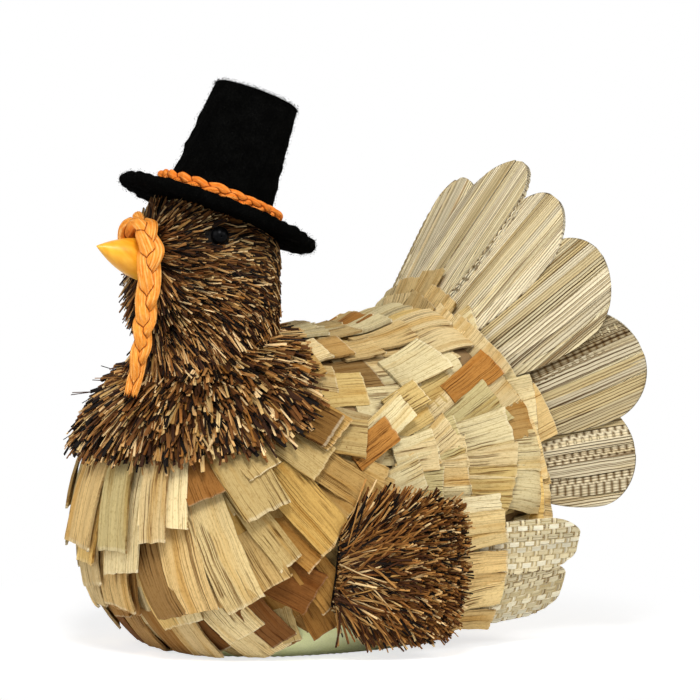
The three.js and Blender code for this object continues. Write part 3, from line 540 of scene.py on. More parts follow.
# Snood: a plait of three paper strands over the beak, hanging down the left side
snood = dict(radius=4.75, pitch=40.0, sway=2.35, dive=1.5, strand=(2.75, 2.5), fold=0.55, around=150,
             steps=460, pathPoints=36, start=0.9, turnHeight=169, facing=-7, fray=0.8, clear=1.05, seed=3,
             tones=("ffa442", "8f330a", "ffcf84"), cut="a8440f",
             taper=((0, 0.85), (0.3, 0.96), (0.5, 1.06), (0.62, 1.18), (0.78, 1.04), (0.9, 0.86), (1, 0.62)),
             route=[(-14, -74, 167.5), (-13.8, -74.1, 171.3), (-12.6, -74.3, 175.9), (-9.6, -74.7, 180.5),
                    (-5.2, -75.1, 183.9), (-0.4, -75.4, 185.4), (4.4, -75.7, 185.1), (8.8, -76.2, 182.6),
                    (12.2, -76.8, 178), (14, -77.5, 171), (14.5, -78.3, 162), (14.4, -79.3, 150.5),
                    (14.2, -80.7, 139.5), (13.8, -82.7, 127.5), (13, -86, 113.5)])
# What every plait here has in common: uneven strands, and paper folds with painted highlights on their crests
# and painted shade in their hollows and seams
plait = dict(slip=0.35, slipLength=7, swell=0.15, swellLength=5.3, swellShift=2.6, seam=(0.03, 0.5), folds=6,
             foldWaves=(3, 12), foldDrift=0.15, foldShift=2.3, paleShare=0.6, highlightFolds=(0.02, 0.2),
             foldShadeShare=0.3, shadeFolds=(0.1, 0.26), grainGap=40, grainDepth=13.0)


# How far the skin of a plait lies from its middle line: each of the three strands swings from edge to
# edge, over the others on its way in and under them on its way out
def plaitReach(style, along, angle, size):
    half, thick = style["strand"]
    reaches, places = [], []
    for k in range(3):
        slip = plait["slip"] * np.sin(along / plait["slipLength"] + k)
        phase = style["start"] + 2 * math.pi * (along / style["pitch"] + k / 3) + slip
        x, z = size * style["sway"] * np.sin(phase), -size * style["dive"] * np.sin(2 * phase)
        swell = 1 + plait["swell"] * np.sin(along / plait["swellLength"] + plait["swellShift"] * k)
        a, b = size * half * swell, size * thick
        square = (np.cos(angle) / a) ** 2 + (np.sin(angle) / b) ** 2
        middle = x * np.cos(angle) / a ** 2 + z * np.sin(angle) / b ** 2
        root = middle ** 2 - square * ((x / a) ** 2 + (z / b) ** 2 - 1)
        far = np.where(root > 0, middle + np.sqrt(np.maximum(root, 0)), 0) / square
        reaches.append(np.maximum(far, 0))
        places.append((far * np.cos(angle) - x) / a)
    return np.array(reaches), np.array(places)


# A plait along a line, with its flat side toward the given directions
def addPlait(heap, line, flat, size, style, rng):
    body, deep, pale = (shade(code) for code in style["tones"])
    tangent = unit(np.gradient(line, axis=0))
    up = unit(flat - tangent * (flat * tangent).sum(-1, keepdims=True))
    side = np.cross(up, tangent)
    along = np.r_[0, np.cumsum(np.linalg.norm(np.diff(line, axis=0), axis=1))][:, None]
    angle = np.linspace(0, 2 * math.pi, style["around"], endpoint=False)[None, :]
    reaches, places = plaitReach(style, along, angle, np.reshape(size, (-1, 1)))
    strand = reaches.argmax(0)
    reach = reaches.max(0)
    isOpen = smooth(reach - np.sort(reaches, 0)[1], *plait["seam"])
    place = np.take_along_axis(places, strand[None], 0)[0]
    fold = np.zeros_like(reach)
    for _ in range(plait["folds"]):
        waves, drift = rng.uniform(*plait["foldWaves"]), rng.normal(0, plait["foldDrift"])
        phase = place * waves + along * drift + anyPhase(rng) + strand * plait["foldShift"]
        fold += np.abs(np.sin(phase)) / plait["folds"]
    fold -= 2 / math.pi  # the mean of the folded sines
    reach = reach + style["fold"] * (fold * isOpen - (1 - isOpen))
    around = np.cos(angle)[..., None] * side[:, None] + np.sin(angle)[..., None] * up[:, None]
    points = line[:, None] + reach[..., None] * around
    # Painted shade at the seams where strands meet and in the folds' hollows, painted highlight on the folds'
    # crests
    tone = deep + (body - deep) * isOpen[..., None]
    paleShare = plait["paleShare"] * smooth(fold, *plait["highlightFolds"]) * isOpen
    tone = tone + (pale - tone) * paleShare[..., None]
    foldShadeShare = plait["foldShadeShare"] * smooth(-fold, *plait["shadeFolds"])
    tone = tone + (deep - tone) * foldShadeShare[..., None]
    across = place * style["strand"][0] + strand * plait["grainGap"]
    grain = np.stack([across, np.broadcast_to(along, across.shape), strand * plait["grainDepth"]], -1)
    faces = gridFaces(len(line), style["around"], True)
    pile(heap, points, faces, tone.reshape(-1, 3), grain.reshape(-1, 3))
    return points


ropeEnd = ((1, 0), (0.72, 0.8), (0.25, 1.5), (0.02, 1.6))  # share of the ring, and depth


def closeEnd(heap, ring, inward, tone):  # frayed, hollow end of a rope
    middle = ring.mean(0)
    points = np.array([middle + (ring - middle) * share + inward * depth for share, depth in ropeEnd])
    grain = np.stack([points[..., 0], points[..., 2], points[..., 1]], -1).reshape(-1, 3)
    pile(heap, points, gridFaces(len(ropeEnd), len(ring), True), tone, grain)


def makeSnood():
    rng = np.random.default_rng(snood["seed"])
    heap = newHeap()
    share = np.linspace(0, 1, snood["steps"])
    line = curveAt(snood["route"], share)
    rise = np.maximum(line[:, 2] - snood["turnHeight"], 0)
    flat = np.stack([line[:, 0], np.full(len(line), snood["facing"]), rise], -1)
    points = addPlait(heap, line, flat, np.interp(share, *zip(*snood["taper"])), snood, rng)
    points[-1] += rng.normal(0, snood["fray"], (snood["around"], 1)) * unit(line[-1] - line[-2])
    closeEnd(heap, points[-1], unit(line[-2] - line[-1]), shade(snood["cut"]))
    closeEnd(heap, points[0], unit(line[1] - line[0]), shade(snood["cut"]))
    piece = makePiece("snoodCord", heap, paper, ["snood_rope"])


makeSnood()

# Foam body, flat underneath, bare only near the base
foamBody = dict(rows=110, columns=150, poleGap=0.2, inset=0.1, bareBelow=24, coveredAbove=30,
                covered=(0.32, 0.19, 0.15))


def makeBody():
    rows, columns, gap = foamBody["rows"], foamBody["columns"], foamBody["poleGap"]
    turns = np.linspace(0, 360, columns, endpoint=False)
    away, turn = np.meshgrid(np.linspace(gap, 180 - gap, rows), turns, indexing="ij")
    ways = ringWay(away, turn)
    reach = bodyRadius(ways) - foamBody["inset"]
    floor = np.where(ways[..., 2] < -1e-6, -bodyShape["height"] / np.minimum(ways[..., 2], -1e-6), 1e9)
    points = (ways * np.minimum(reach, floor)[..., None] + bodyCentre).reshape(-1, 3)
    # Painted shade: above the bare band the foam takes a dark brown tone, as shade under the chips
    share = smooth(points[:, 2], foamBody["bareBelow"], foamBody["coveredAbove"])[:, None]
    tone = 1 + (np.array(foamBody["covered"]) - 1) * share
    heap = newHeap()
    pile(heap, points, gridFaces(rows, columns, True), tone, points)
    makePiece("foamBody", heap, bodyFoam, ["body_core"])


makeBody()
print("foam body made")

# Husk shingles: courses of separate chips round the neck and back to the tail, longer on the breast
husk = dict(first=30, step=13, courses=10, spacing=14.5, jitter=0.2, width=(11.5, 21.5), reach=(1.5, 2.2),
            thick=1.1, layer=1.45, seat=0.9, beside=1.3, tip=(1.0, 3.2), curl=(-0.5, 1.3), twist=9, skew=0.12,
            flat=0.12, nape=4.5, napeTurns=(15, 45), napeCourses=2, straightTurn=150, tailTurn=65, most=75,
            clearFront=47, clearRear=6, ground=1.2, shortest=0.85, tryStep=0.06, tryHalf=0.35, tryFrom=0.1,
            besideRoot=0.3, hug=0.5, hugHeights=(4, 40), underWing=4.2, rootPaintedShade=0.86, edgePaintedShade=0.7,
            paleEnd=0.45, rim="f2e5c2", rust=(1, 8, "a97a44"), flankTurns=(50, 75, 130, 148),
            flankTint=(0.73, 0.62, 0.45), frontTint=(1.08, 1.04, 1.0), lowHeight=44, lowShare=0.6, seed=21,
            tones=(("e6ce99", 30), ("eedca9", 26), ("dcbe83", 18), ("e5c680", 10), ("c69d5e", 6),
                   ("b9803e", 6), ("cdbc86", 3), ("9a7848", 3)),
            lowTones=(("b58a50", 3), ("94663a", 3), ("c8a168", 3), ("80501f", 2)))
# Underlay chips fill gaps under the courses; their colour is multiplied by shade, painted shade under the
# chips above
underlay = dict(reach=1.5, shortest=0.4, clear=5, seat=0.5, layer=0.5, shade=0.85)
breast = dict(fullTurn=115, noTurn=85, longReach=2.45, shorter=0.2, least=1.6, spread=0.22, hidden=1.35,
              odd=0.3, oddLonger=0.8)
bareFoam = dict(turn=121, spread=15, height=14)
chip = dict(ragged=0.2, taper=0.05, edge=0.15, ridges=4, ridge=0.12, ridgeWaves=(2, 9), ridgeLean=(-0.5, 0.5),
            bowRoot=0.2, tipPower=2.2)
huskNodes = {5: ("breast", "rump"), 6: ("left", "right", "rump"), 7: ("left", "right", "rump")}
huskRows = np.r_[np.linspace(0, 0.972, 8), 0.979, 1]  # the last two make the cut end
huskColumns = np.linspace(-1, 1, 11)

# Wings lie over the husk; their settings come first because the chips stay under them
wing = dict(middle=(70, 17, -21), seat=5.7, layer=2.0, front=-42, chips=14, chipLength=32, feathers=34,
            end=82, leave=30, flare=0.3, half=30, coverFront=(4, 2), coverEnd=20, coverHalf=(22, 30),
            facing=0.2, leastFacing=0.05, seed=71)
wingMiddle = np.array(wing["middle"], float)
wingOut = unit(wingMiddle)
wingBack = unit(np.array([0, 1.0, 0]) - wingOut * wingOut[1])
wingDown = np.cross(wingBack, wingOut)


def underWing(ways):
    ways = ways * np.where(ways[..., :1] < 0, (-1, 1, 1), (1, 1, 1))
    outward = ways @ wingOut
    far = np.linalg.norm(wingMiddle) / np.maximum(outward, wing["leastFacing"])
    spots = ways * far[..., None] - wingMiddle
    back, down = spots @ wingBack, spots @ wingDown
    before, after = wing["coverFront"]
    inside = smooth(back, wing["front"] - before, wing["front"] + after)
    inside = inside * (1 - smooth(back, wing["end"] - wing["coverEnd"], wing["end"]))
    return inside * (1 - smooth(np.abs(down), *wing["coverHalf"])) * (outward > wing["facing"])


# A loose chip: across and along in millimetres, with its own ridges, straight cut and warp
def chipForm(rng, width, length, settings):
    s, t = np.meshgrid(huskRows, huskColumns, indexing="ij")
    ragged = np.zeros_like(s)
    ragged[-3:] = rng.normal(0, chip["ragged"], len(huskColumns))
    x = t * width / 2 * (1 - chip["taper"] * s * rng.uniform(-1, 1))
    for column in (0, -1):
        x[:, column] += rng.normal(0, chip["edge"], len(huskRows))
    y = s * length + ragged + rng.uniform(-1, 1) * settings["skew"] * x * s
    spin = math.radians(rng.normal(0, settings["twist"]))
    across = x * math.cos(spin) - y * math.sin(spin)
    along = x * math.sin(spin) + y * math.cos(spin)
    ridges = np.zeros_like(s)
    for _ in range(chip["ridges"]):
        phase = t * rng.uniform(*chip["ridgeWaves"]) + anyPhase(rng) + s * rng.uniform(*chip["ridgeLean"])
        ridges += np.sin(phase) * chip["ridge"]
    bow = rng.uniform(*settings["curl"]) * t ** 2 * (chip["bowRoot"] + (1 - chip["bowRoot"]) * s)
    warp = ridges + bow + rng.uniform(*settings["tip"]) * s ** chip["tipPower"]
    grain = np.stack([x, y, np.full_like(x, anyGrain(rng))], -1)
    return s, across, along, warp, grain


# Directions, seen from the body's centre, of a chip's points: it runs straight from its root along a heading
def chipWays(root, heading, radius, across, along):
    side = np.cross(heading, root)
    reach = np.hypot(across, along)[..., None] / radius
    return root * np.cos(reach) + unit(across[..., None] * side + along[..., None] * heading) * np.sin(reach)


def layChip(heap, rng, ways, lift, thick, tone, grain):
    base = onBody(ways)
    normal = unit(np.cross(np.gradient(base, axis=1), np.gradient(base, axis=0)))
    lift = lift * (husk["hug"] + (1 - husk["hug"]) * smooth(base[..., 2], *husk["hugHeights"]))
    hidden = underWing(ways)
    lift = lift + (np.minimum(lift, husk["underWing"]) - lift) * hidden
    middle = base + normal * lift[..., None]
    middle[..., 2] = np.maximum(middle[..., 2], husk["ground"])
    addPlate(heap, middle, normal, thick, *chipTones(rng, tone), grain)


# A chip has painted shade toward its root, where the chip above covers it, and along its sides, and has a
# pale cut at its end
def chipTones(rng, tone):
    rim = shade(husk["rim"])
    fade = husk["rootPaintedShade"] + (1 - husk["rootPaintedShade"]) * huskRows
    face = tone * fade[:, None, None] * np.ones((len(huskRows), len(huskColumns), 1))
    # painted shadow on the chip's side edges
    edge = face * husk["edgePaintedShade"]
    face[-2:] += (rim - face[-2:]) * rng.uniform(0, husk["paleEnd"])
    edge[-2:] = rim
    return face, edge


# Straight away from the neck on the breast, turning to straight at the tail on the rump
def chipHeading(away, turn):
    root = ringWay(np.array(away), np.array(turn))
    outward = unit(ringWay(np.array(away + 1), np.array(turn)) - ringWay(np.array(away - 1), np.array(turn)))
    best = int((fanPathWays @ root).argmax())
    if fanPathFaces[best] @ root < 0:
        return root, outward
    straight, tail = husk["straightTurn"], husk["tailTurn"]
    share = np.clip((straight - fromRear(turn)) / (straight - tail), 0, 1) ** 2
    side, aim = np.cross(outward, root), fanPathWays[best] - root
    most = math.radians(husk["most"])
    angle = np.clip(math.atan2(aim @ side, aim @ outward), -most, most) * share
    return root, outward * math.cos(angle) + side * math.sin(angle)


# How many courses a chip can span before it meets the tail, the ground or the bare foam
def clearReach(root, heading, radius, width, wanted, shortest, clearFront):
    tries = np.arange(wanted, shortest, -husk["tryStep"])
    share = np.linspace(husk["tryFrom"], 1, 4)[None, :, None]
    along = share * tries[:, None, None] * math.radians(husk["step"]) * radius
    across = np.linspace(-husk["tryHalf"], husk["tryHalf"], 3)[None, None, :] * width
    along, across = np.broadcast_arrays(along, across)
    ways = chipWays(root, heading, radius, across, along)
    degrees, inFront = nearFan(ways)
    isClear = (degrees > np.where(inFront, clearFront, husk["clearRear"])).all((1, 2))
    tips = ways[:, -1]
    turns = np.degrees(np.arctan2(tips[..., 0], tips @ rearward))
    bare = bareFoam["height"] * np.exp(-(((turns - bareFoam["turn"]) / bareFoam["spread"]) ** 4))
    good = np.flatnonzero(isClear & (onBody(tips)[..., 2] > husk["ground"] + bare).all(1))
    return tries[good[0]] if len(good) else 0


# On the breast every second course shows, with longer chips
def wantedReach(rng, course, turn):
    reach = rng.uniform(*husk["reach"])
    if course % 2 == 0:
        onBreast = max(breast["longReach"] - breast["shorter"] * course, breast["least"])
    else:
        onBreast = breast["hidden"] + (breast["oddLonger"] if rng.random() < breast["odd"] else 0)
    onBreast += rng.normal(0, breast["spread"])
    return reach + (onBreast - reach) * float(smooth(fromRear(turn), breast["noTurn"], breast["fullTurn"]))


# The first chips behind the neck stand up
def napeLift(course, turn):
    if course >= husk["napeCourses"]:
        return 0
    return husk["nape"] * float(1 - smooth(fromRear(turn), *husk["napeTurns"]))


# The flanks are browner than the back and the breast is paler
def flankTint(turn):
    rise, full, fall, end = husk["flankTurns"]
    front = float(smooth(fromRear(turn), fall, end))
    flank = float(smooth(fromRear(turn), rise, full)) * (1 - front)
    return 1 + (np.array(husk["flankTint"]) - 1) * flank + (np.array(husk["frontTint"]) - 1) * front


def makeHusk():
    rng = np.random.default_rng(husk["seed"])
    around = 2 * math.pi * math.sqrt(bodyShape["half"][0] * bodyShape["half"][1])
    for course in range(husk["courses"]):
        heap = newHeap()
        away = husk["first"] + course * husk["step"]
        girth = around * math.sin(math.radians(away))
        count = round(girth / husk["spacing"])
        tones = pick(rng, husk["tones"], count)
        lowTones = pick(rng, husk["lowTones"], count)
        for i in range(count):
            shift = 0.5 * (course % 2) + rng.uniform(-husk["jitter"], husk["jitter"])
            turn = (i + shift) * 360 / count
            width = rng.uniform(*husk["width"])
            root, heading = chipHeading(away, turn)
            if onBody(root)[2] < husk["lowHeight"] and rng.random() < husk["lowShare"]:
                tones[i] = lowTones[i]
            if (course, i) == husk["rust"][:2]:
                tones[i] = shade(husk["rust"][2])
            tones[i] = tones[i] * flankTint(turn)
            radius = float(bodyRadius(root))
            perCourse = math.radians(husk["step"]) * radius
            wanted = wantedReach(rng, course, turn)
            reach = clearReach(root, heading, radius, width, wanted, husk["shortest"], husk["clearFront"])
            s, across, along, warp, grain = chipForm(rng, width, reach * perCourse, husk)
            if reach:
                straight = husk["flat"] * along ** 2 / (2 * radius)
                rise = husk["besideRoot"] + (1 - husk["besideRoot"]) * s
                lift = husk["seat"] + husk["layer"] * reach * s + (i % 2) * husk["beside"] * rise
                lift = lift + warp + straight + napeLift(course, turn) * s
                ways = chipWays(root, heading, radius, across, along)
                layChip(heap, rng, ways, lift, husk["thick"], tones[i], grain)
            root, heading = chipHeading(away, turn + 180 / count)
            limits = underlay["reach"], underlay["shortest"], underlay["clear"]
            reach = clearReach(root, heading, radius, width, *limits)
            if reach:
                s, across, along, _, grain = chipForm(rng, width, reach * perCourse, husk)
                ways = chipWays(root, heading, radius, across, along)
                lift = underlay["seat"] + underlay["layer"] * s
                # the underlay chip takes painted shade
                layChip(heap, rng, ways, lift, husk["thick"], tones[i - 1] * underlay["shade"], grain)
        name = f"husk_course_{course + 1}"
        nodes = [f"{name}_{side}" for side in huskNodes[course + 1]] if course + 1 in huskNodes else [name]
        makePiece(f"huskCourse{course + 1}", heap, huskLook, nodes)


makeHusk()
print("husk courses laid")

# Tail feathers: strips of split leaf on a thin card, some of them woven like a ladder
feather = dict(stemWidth=18, width=46, stemDepth=12, stagger=1.9, widest=0.72, roundTo=1.002, cardThick=0.5,
               strips=(8, 12), shares=(0.6, 1.5), lap=(1.02, 1.2), stripFrom=0.08, stripColumns=6, thick=0.45,
               seat=0.42, upper=0.25, ridge=0.07, wave=0.12, tilt=0.25, drift=0.05, seed=33,
               cardRows=(20, 30), cardColumns=13, stripRows=(16, 24), ridgeWaves=(3, 11), waves=(3, 8),
               wavePhase=6, ladders=((-1,), (0,), (0,), (0, 2), (0, 2, 4, 6)), ladderColumns=7, rung=1.1,
               rungDrop=0.4, ladderLift=0.15, gap="6f5632", rim="f1e8cd", rimShade=0.9, card="e2d6b0",
               grey="ab9c7c", greyIndex=3, greyShare=0.34, toneAndPaintedLight=(1.24, 1.2, 0.9, 0.73, 0.96),
               brightest=0.98,
               tones=(("e4d5ac", 26), ("eadcb9", 24), ("dcca9f", 18), ("d4c092", 12), ("e0ca96", 10),
                      ("b99f74", 4)))


def featherSheet(index):
    crest = float(bodyRadius(fanDirection(np.array([float(index)])))[0])
    stem, reach = crest - feather["stemDepth"], fanShape["reach"][abs(index)]
    spread = float(fanSpread(np.array([float(index)]))[0])

    def at(part, across, lift):
        radius = stem + (reach - stem) * part
        u = index + across / (radius * spread)
        normal = fanNormal(u)
        return fanDirection(u) * radius[..., None] + normal * lift[..., None] + bodyCentre, normal
    return at, reach - stem


def featherHalf(part):
    swell = np.sin(np.minimum(part / feather["widest"], 1) * math.pi / 2)
    half = feather["stemWidth"] / 2 + (feather["width"] - feather["stemWidth"]) / 2 * swell
    past = np.clip(part - feather["widest"], 0, None) / (feather["roundTo"] - feather["widest"])
    return half, half * np.sqrt(np.clip(1 - past * past, 0, 1))


# Parts of the length, closer together where the tip rounds off
def featherRows(start, straight, rounded):
    widest = feather["widest"]
    tip = widest + (1 - widest) * np.sin(np.linspace(0, math.pi / 2, rounded))
    return np.r_[np.linspace(start, widest, straight, endpoint=False), tip]


def addStrip(heap, rng, at, length, stagger, face, place, wide, isLadder, isUpper, tone):
    start = feather["stripFrom"]
    rows, columns = featherRows(start, *feather["stripRows"]), feather["stripColumns"]
    if isLadder:
        rows = np.linspace(start, 1, int(length * (1 - start) / feather["rung"]))
        columns = feather["ladderColumns"]
    part, share = np.meshgrid(rows, np.linspace(0, 1, columns), indexing="ij")
    half, outline = featherHalf(part)
    drift = rng.uniform(-feather["drift"], feather["drift"]) * part
    across = np.clip((place + (share - 0.5) * wide + drift) * half, -outline, outline)
    ripples = (np.sin(share * rng.uniform(*feather["ridgeWaves"]) + anyPhase(rng)) for _ in range(3))
    ridge = sum(ripples) * feather["ridge"]
    phase = part * rng.uniform(*feather["waves"]) + rng.uniform(0, feather["wavePhase"])
    wave = feather["wave"] * np.sin(phase)
    lift = feather["seat"] + feather["upper"] * isUpper + ridge + wave
    lift = lift + feather["tilt"] * (2 * share - 1) * rng.uniform(-1, 1)
    tone = np.broadcast_to(tone, part.shape + (3,))
    if isLadder:
        offset = np.where(np.arange(columns) < columns // 2, 0, 1)
        isGap = (np.arange(len(rows))[:, None] + offset[None, :]) % 3 == 2
        lift = lift - np.where(isGap, feather["rungDrop"], 0) + feather["ladderLift"]
        # painted shade: the gaps between a ladder's rungs take a dark tone
        tone = np.where(isGap[..., None], shade(feather["gap"]), tone)
    middle, normal = at(part, across, stagger + face * lift)
    grain = np.stack([across, part * length, np.full_like(part, anyGrain(rng))], -1)
    if face < 0:
        middle, normal, grain, tone = (a[:, ::-1] for a in (middle, -normal, grain, tone))
    rimTone = shade(feather["rim"]) * feather["rimShade"]
    addPlate(heap, middle, normal, feather["thick"], tone, rimTone, grain)


def featherTones(rng, index, count):
    # Each feather's brightness is partly its own tone, partly painted light and shade across the fan
    tones = pick(rng, feather["tones"], count) * feather["toneAndPaintedLight"][abs(index)]
    tones = tones / np.maximum(tones.max(1, keepdims=True) / feather["brightest"], 1)
    if abs(index) == feather["greyIndex"]:
        tones[:round(count * feather["greyShare"])] = shade(feather["grey"])
    return tones[::-1] if index < 0 else tones


def makeTail():
    rng = np.random.default_rng(feather["seed"])
    for index in range(-lastFeather, fanEnd):
        at, length = featherSheet(index)
        heap = newHeap()
        stagger = -feather["stagger"] * abs(index)
        cardRows = featherRows(0, *feather["cardRows"])
        part, q = np.meshgrid(cardRows, np.linspace(-1, 1, feather["cardColumns"]), indexing="ij")
        half, outline = featherHalf(part)
        middle, normal = at(part, q * outline, np.full_like(part, stagger))
        grain = np.stack([q * half, part * length, np.full_like(part, anyGrain(rng))], -1)
        card, rim = shade(feather["card"]), shade(feather["rim"])
        addPlate(heap, middle, normal, feather["cardThick"], card, rim, grain)
        for face in (1, -1):
            count = rng.integers(*feather["strips"])
            cuts = np.r_[0, np.cumsum(rng.uniform(*feather["shares"], count))]
            cuts = cuts / cuts[-1] * 2 - 1
            tones = featherTones(rng, index, count)
            ladders = np.zeros(count, bool)
            ladders[list(feather["ladders"][abs(index)])] = True
            for k in range(count):
                place = (cuts[k] + cuts[k + 1]) / 2
                wide = (cuts[k + 1] - cuts[k]) * rng.uniform(*feather["lap"])
                addStrip(heap, rng, at, length, stagger, face, place, wide, ladders[k], k % 2, tones[k])
        number = index + fanEnd
        makePiece(f"tailFeather{number}", heap, leafLook, [f"tail_feather_{number}"])


makeTail()
print("tail feathers made")

# Coverts: chips that stand on the tail's ridge and hide the feathers' feet, in rows of height, front, width
# and face, and chips on the ridge's slopes, in rows of low, high, seat, rise, width, ends and side
covert = dict(standing=((21, 2.7, 19, 1), (14, 4.3, 22, 1), (16, -2.9, 14, -1)),
              slopes=((59, 43, 2.6, 1.6, 16, 3.2, 1), (48, 32, 2.4, 1.7, 17, 4.75, 1),
                      (37, 21, 2.0, 1.7, 17, 4.9, 1), (26, 10, 1.6, 1.7, 17, 4.9, 1),
                      (15, 1.5, 1.0, 1.6, 16, 4.9, 1), (30, 13, 1.7, 1.4, 17, 4.2, -1),
                      (18, 4, 1.2, 1.2, 17, 4.6, -1)),
              thick=1.1, skew=0.07, twist=3.5, tip=(0.2, 1.5), curl=(-0.3, 0.7), loose=0.7, start=-4.75,
              startSpread=0.2, shrink=0.1, sink=3, standingWide=(0.7, 1.4), standingTall=(0.65, 1.4),
              standingStep=0.82, standingPaintedLight=1.13, slopeWide=(0.8, 1.3), slopeLong=(0.9, 1.12),
              slopeStep=0.84, seed=45)
standingChip = dict(covert, twist=8, skew=0.14)


def addStanding(heap, rng, height, front, width, face):
    u = covert["start"] + rng.uniform(0, covert["startSpread"])
    while u < -covert["start"]:
        crest = float(bodyRadius(fanDirection(np.array([u])))[0])
        spread = float(fanSpread(np.array([u]))[0])
        wide = width * rng.uniform(*covert["standingWide"])
        tall = height * (1 - covert["shrink"] * abs(u)) * rng.uniform(*covert["standingTall"])
        _, across, along, warp, grain = chipForm(rng, wide, tall, standingChip)
        radius = crest - covert["sink"] + along
        us = u + across / (radius * spread)
        lift = front - feather["stagger"] * np.abs(us) + face * (warp + rng.uniform(0, covert["loose"]))
        normal = fanNormal(us)
        middle = fanDirection(us) * radius[..., None] + normal * lift[..., None] + bodyCentre
        if face < 0:
            middle, normal, grain = middle[:, ::-1], -normal[:, ::-1], grain[:, ::-1]
        # painted light: standing coverts are drawn paler than the other chips, as if more lit
        tone = np.clip(pick(rng, husk["tones"][:4], 1)[0] * covert["standingPaintedLight"], 0, 1)
        addPlate(heap, middle, normal, covert["thick"], *chipTones(rng, tone), grain)
        u += wide * covert["standingStep"] / (crest * spread)


# A row of chips from low to high, in degrees from the fan; it follows the feathers' stagger
def addSlope(heap, rng, low, high, seat, rise, width, ends, side):
    u = -ends + rng.uniform(0, covert["startSpread"])
    while u < ends:
        way, face = fanDirection(u), fanNormal(u) * side
        crest = float(bodyRadius(way))
        turn = math.radians(low) - side * feather["stagger"] * abs(u) / crest
        root = way * math.cos(turn) + face * math.sin(turn)
        heading = way * math.sin(turn) - face * math.cos(turn)
        wide = width * rng.uniform(*covert["slopeWide"])
        length = math.radians(low - high) * crest * rng.uniform(*covert["slopeLong"])
        s, across, along, warp, grain = chipForm(rng, wide, length, covert)
        ways = chipWays(root, heading, crest, across, along)
        lift = seat + rise * s + warp + rng.uniform(0, covert["loose"])
        layChip(heap, rng, ways, lift, covert["thick"], pick(rng, husk["tones"], 1)[0], grain)
        u += wide * covert["slopeStep"] / (crest * float(fanSpread(u)))


def makeCoverts():
    rng = np.random.default_rng(covert["seed"])
    heap = newHeap()
    for row in covert["standing"]:
        addStanding(heap, rng, *row)
    for row in covert["slopes"]:
        addSlope(heap, rng, *row)
    makePiece("tailCoverts", heap, huskLook, ["tail_coverts"])


makeCoverts()
print("coverts laid")

# Straw: thousands of cut slivers over a dark sheet of painted shade
straw = dict(thick=0.35, spin=0.7, bend=0.07, taper=0.08, lowest=0.4, rootPaintedShade=0.62, tipPaintedLight=0.5,
             stemWidth=1.2, ground="0c0703")
strawTones = (("100803", 29), ("382010", 19), ("5d391a", 17), ("805329", 15), ("a87843", 13), ("cda065", 11),
              ("ecca94", 11))
wingTones = (("140a04", 21), ("4a2a13", 16), ("70461f", 21), ("94622e", 19), ("b68346", 15), ("d2a566", 10),
             ("ecca92", 9))
stemTones = (("c9a66c", 5), ("dabb82", 4), ("ad8347", 4), ("99662d", 3))


def only(chosen, *arrays):
    return [array[chosen] for array in arrays]


# Turns directions sideways at random, by about so many degrees
def swung(rng, along, normal, degrees):
    swing = np.radians(rng.normal(0, degrees, len(along)))[:, None]
    return along * np.cos(swing) + np.cross(normal, along) * np.sin(swing)


def strawColours(rng, count, palette, stemShare):
    colours = pick(rng, palette, count)
    stems = rng.random(count) < stemShare
    colours[stems] = pick(rng, stemTones, int(stems.sum()))
    return colours, stems


def addStraws(heap, rng, roots, along, normal, length, width, rise, droop, tones, thick=straw["thick"],
              segments=2):
    count = len(roots)
    rise = np.radians(rise)[:, None]
    start = along * np.cos(rise) + normal * np.sin(rise)
    across = unit(np.cross(normal, along))
    up = np.cross(across, start)
    spin = rng.uniform(-straw["spin"], straw["spin"], count)[:, None]
    side, up = across * np.cos(spin) + up * np.sin(spin), up * np.cos(spin) - across * np.sin(spin)
    bend = rng.normal(0, straw["bend"], count)
    rings = []
    for k in range(segments + 1):
        f = k / segments
        spine = roots + start * (length * f)[:, None] - normal * (droop * length * f * f)[:, None]
        spine = spine + across * (bend * length * f * f)[:, None]
        w, h = side * (width * (0.5 - straw["taper"] * f))[:, None], up * thick / 2
        rings.append(np.stack([spine + w + h, spine - w + h, spine - w - h, spine + w - h], 1))
    points = np.concatenate(rings, 1)
    points[..., 2] = np.maximum(points[..., 2], straw["lowest"])
    corners = 4 * (segments + 1)
    faces = [[4 * k + c, 4 * k + (c + 1) % 4, 4 * k + 4 + (c + 1) % 4, 4 * k + 4 + c]
             for k in range(segments) for c in range(4)]
    faces.append([corners - 4, corners - 3, corners - 2, corners - 1])
    faces = (np.array(faces)[None] + corners * np.arange(count)[:, None, None]).reshape(-1, 4)
    f = np.repeat(np.arange(segments + 1) / segments, 4)
    # painted shade toward each straw's root and painted highlight toward its tip
    tone = np.clip(tones[:, None] * (straw["rootPaintedShade"] + straw["tipPaintedLight"] * f)[None, :, None], 0, 1)
    widthwise = np.tile([0, 1.0, 1.0, 0], segments + 1)[None] * width[:, None]
    seed = np.broadcast_to(anyGrain(rng, count)[:, None], widthwise.shape)
    grain = np.stack([widthwise, f[None] * length[:, None], seed], -1)
    pile(heap, points, faces, tone.reshape(-1, 3), grain.reshape(-1, 3))


headStraw = dict(count=19500, length=(8, 14.5), width=(0.32, 0.9), seat=(0.4, 1.6), rise=(4, 19), droop=0.04,
                 stems=0.05, low=110, high=199, split=158, groundLift=1.1, groundColumns=60, brimGap=0.6,
                 brimPass=1.5, beakClear=9.6, beakDepth=0.6, eyeClear=4.4, probeLift=0.16, leastShare=0.1,
                 groundRows=24, groundDome=(0.05, 1.5, 14), brimPaintedShade=0.34, brimShadeHeights=(150, 178), seed=51)
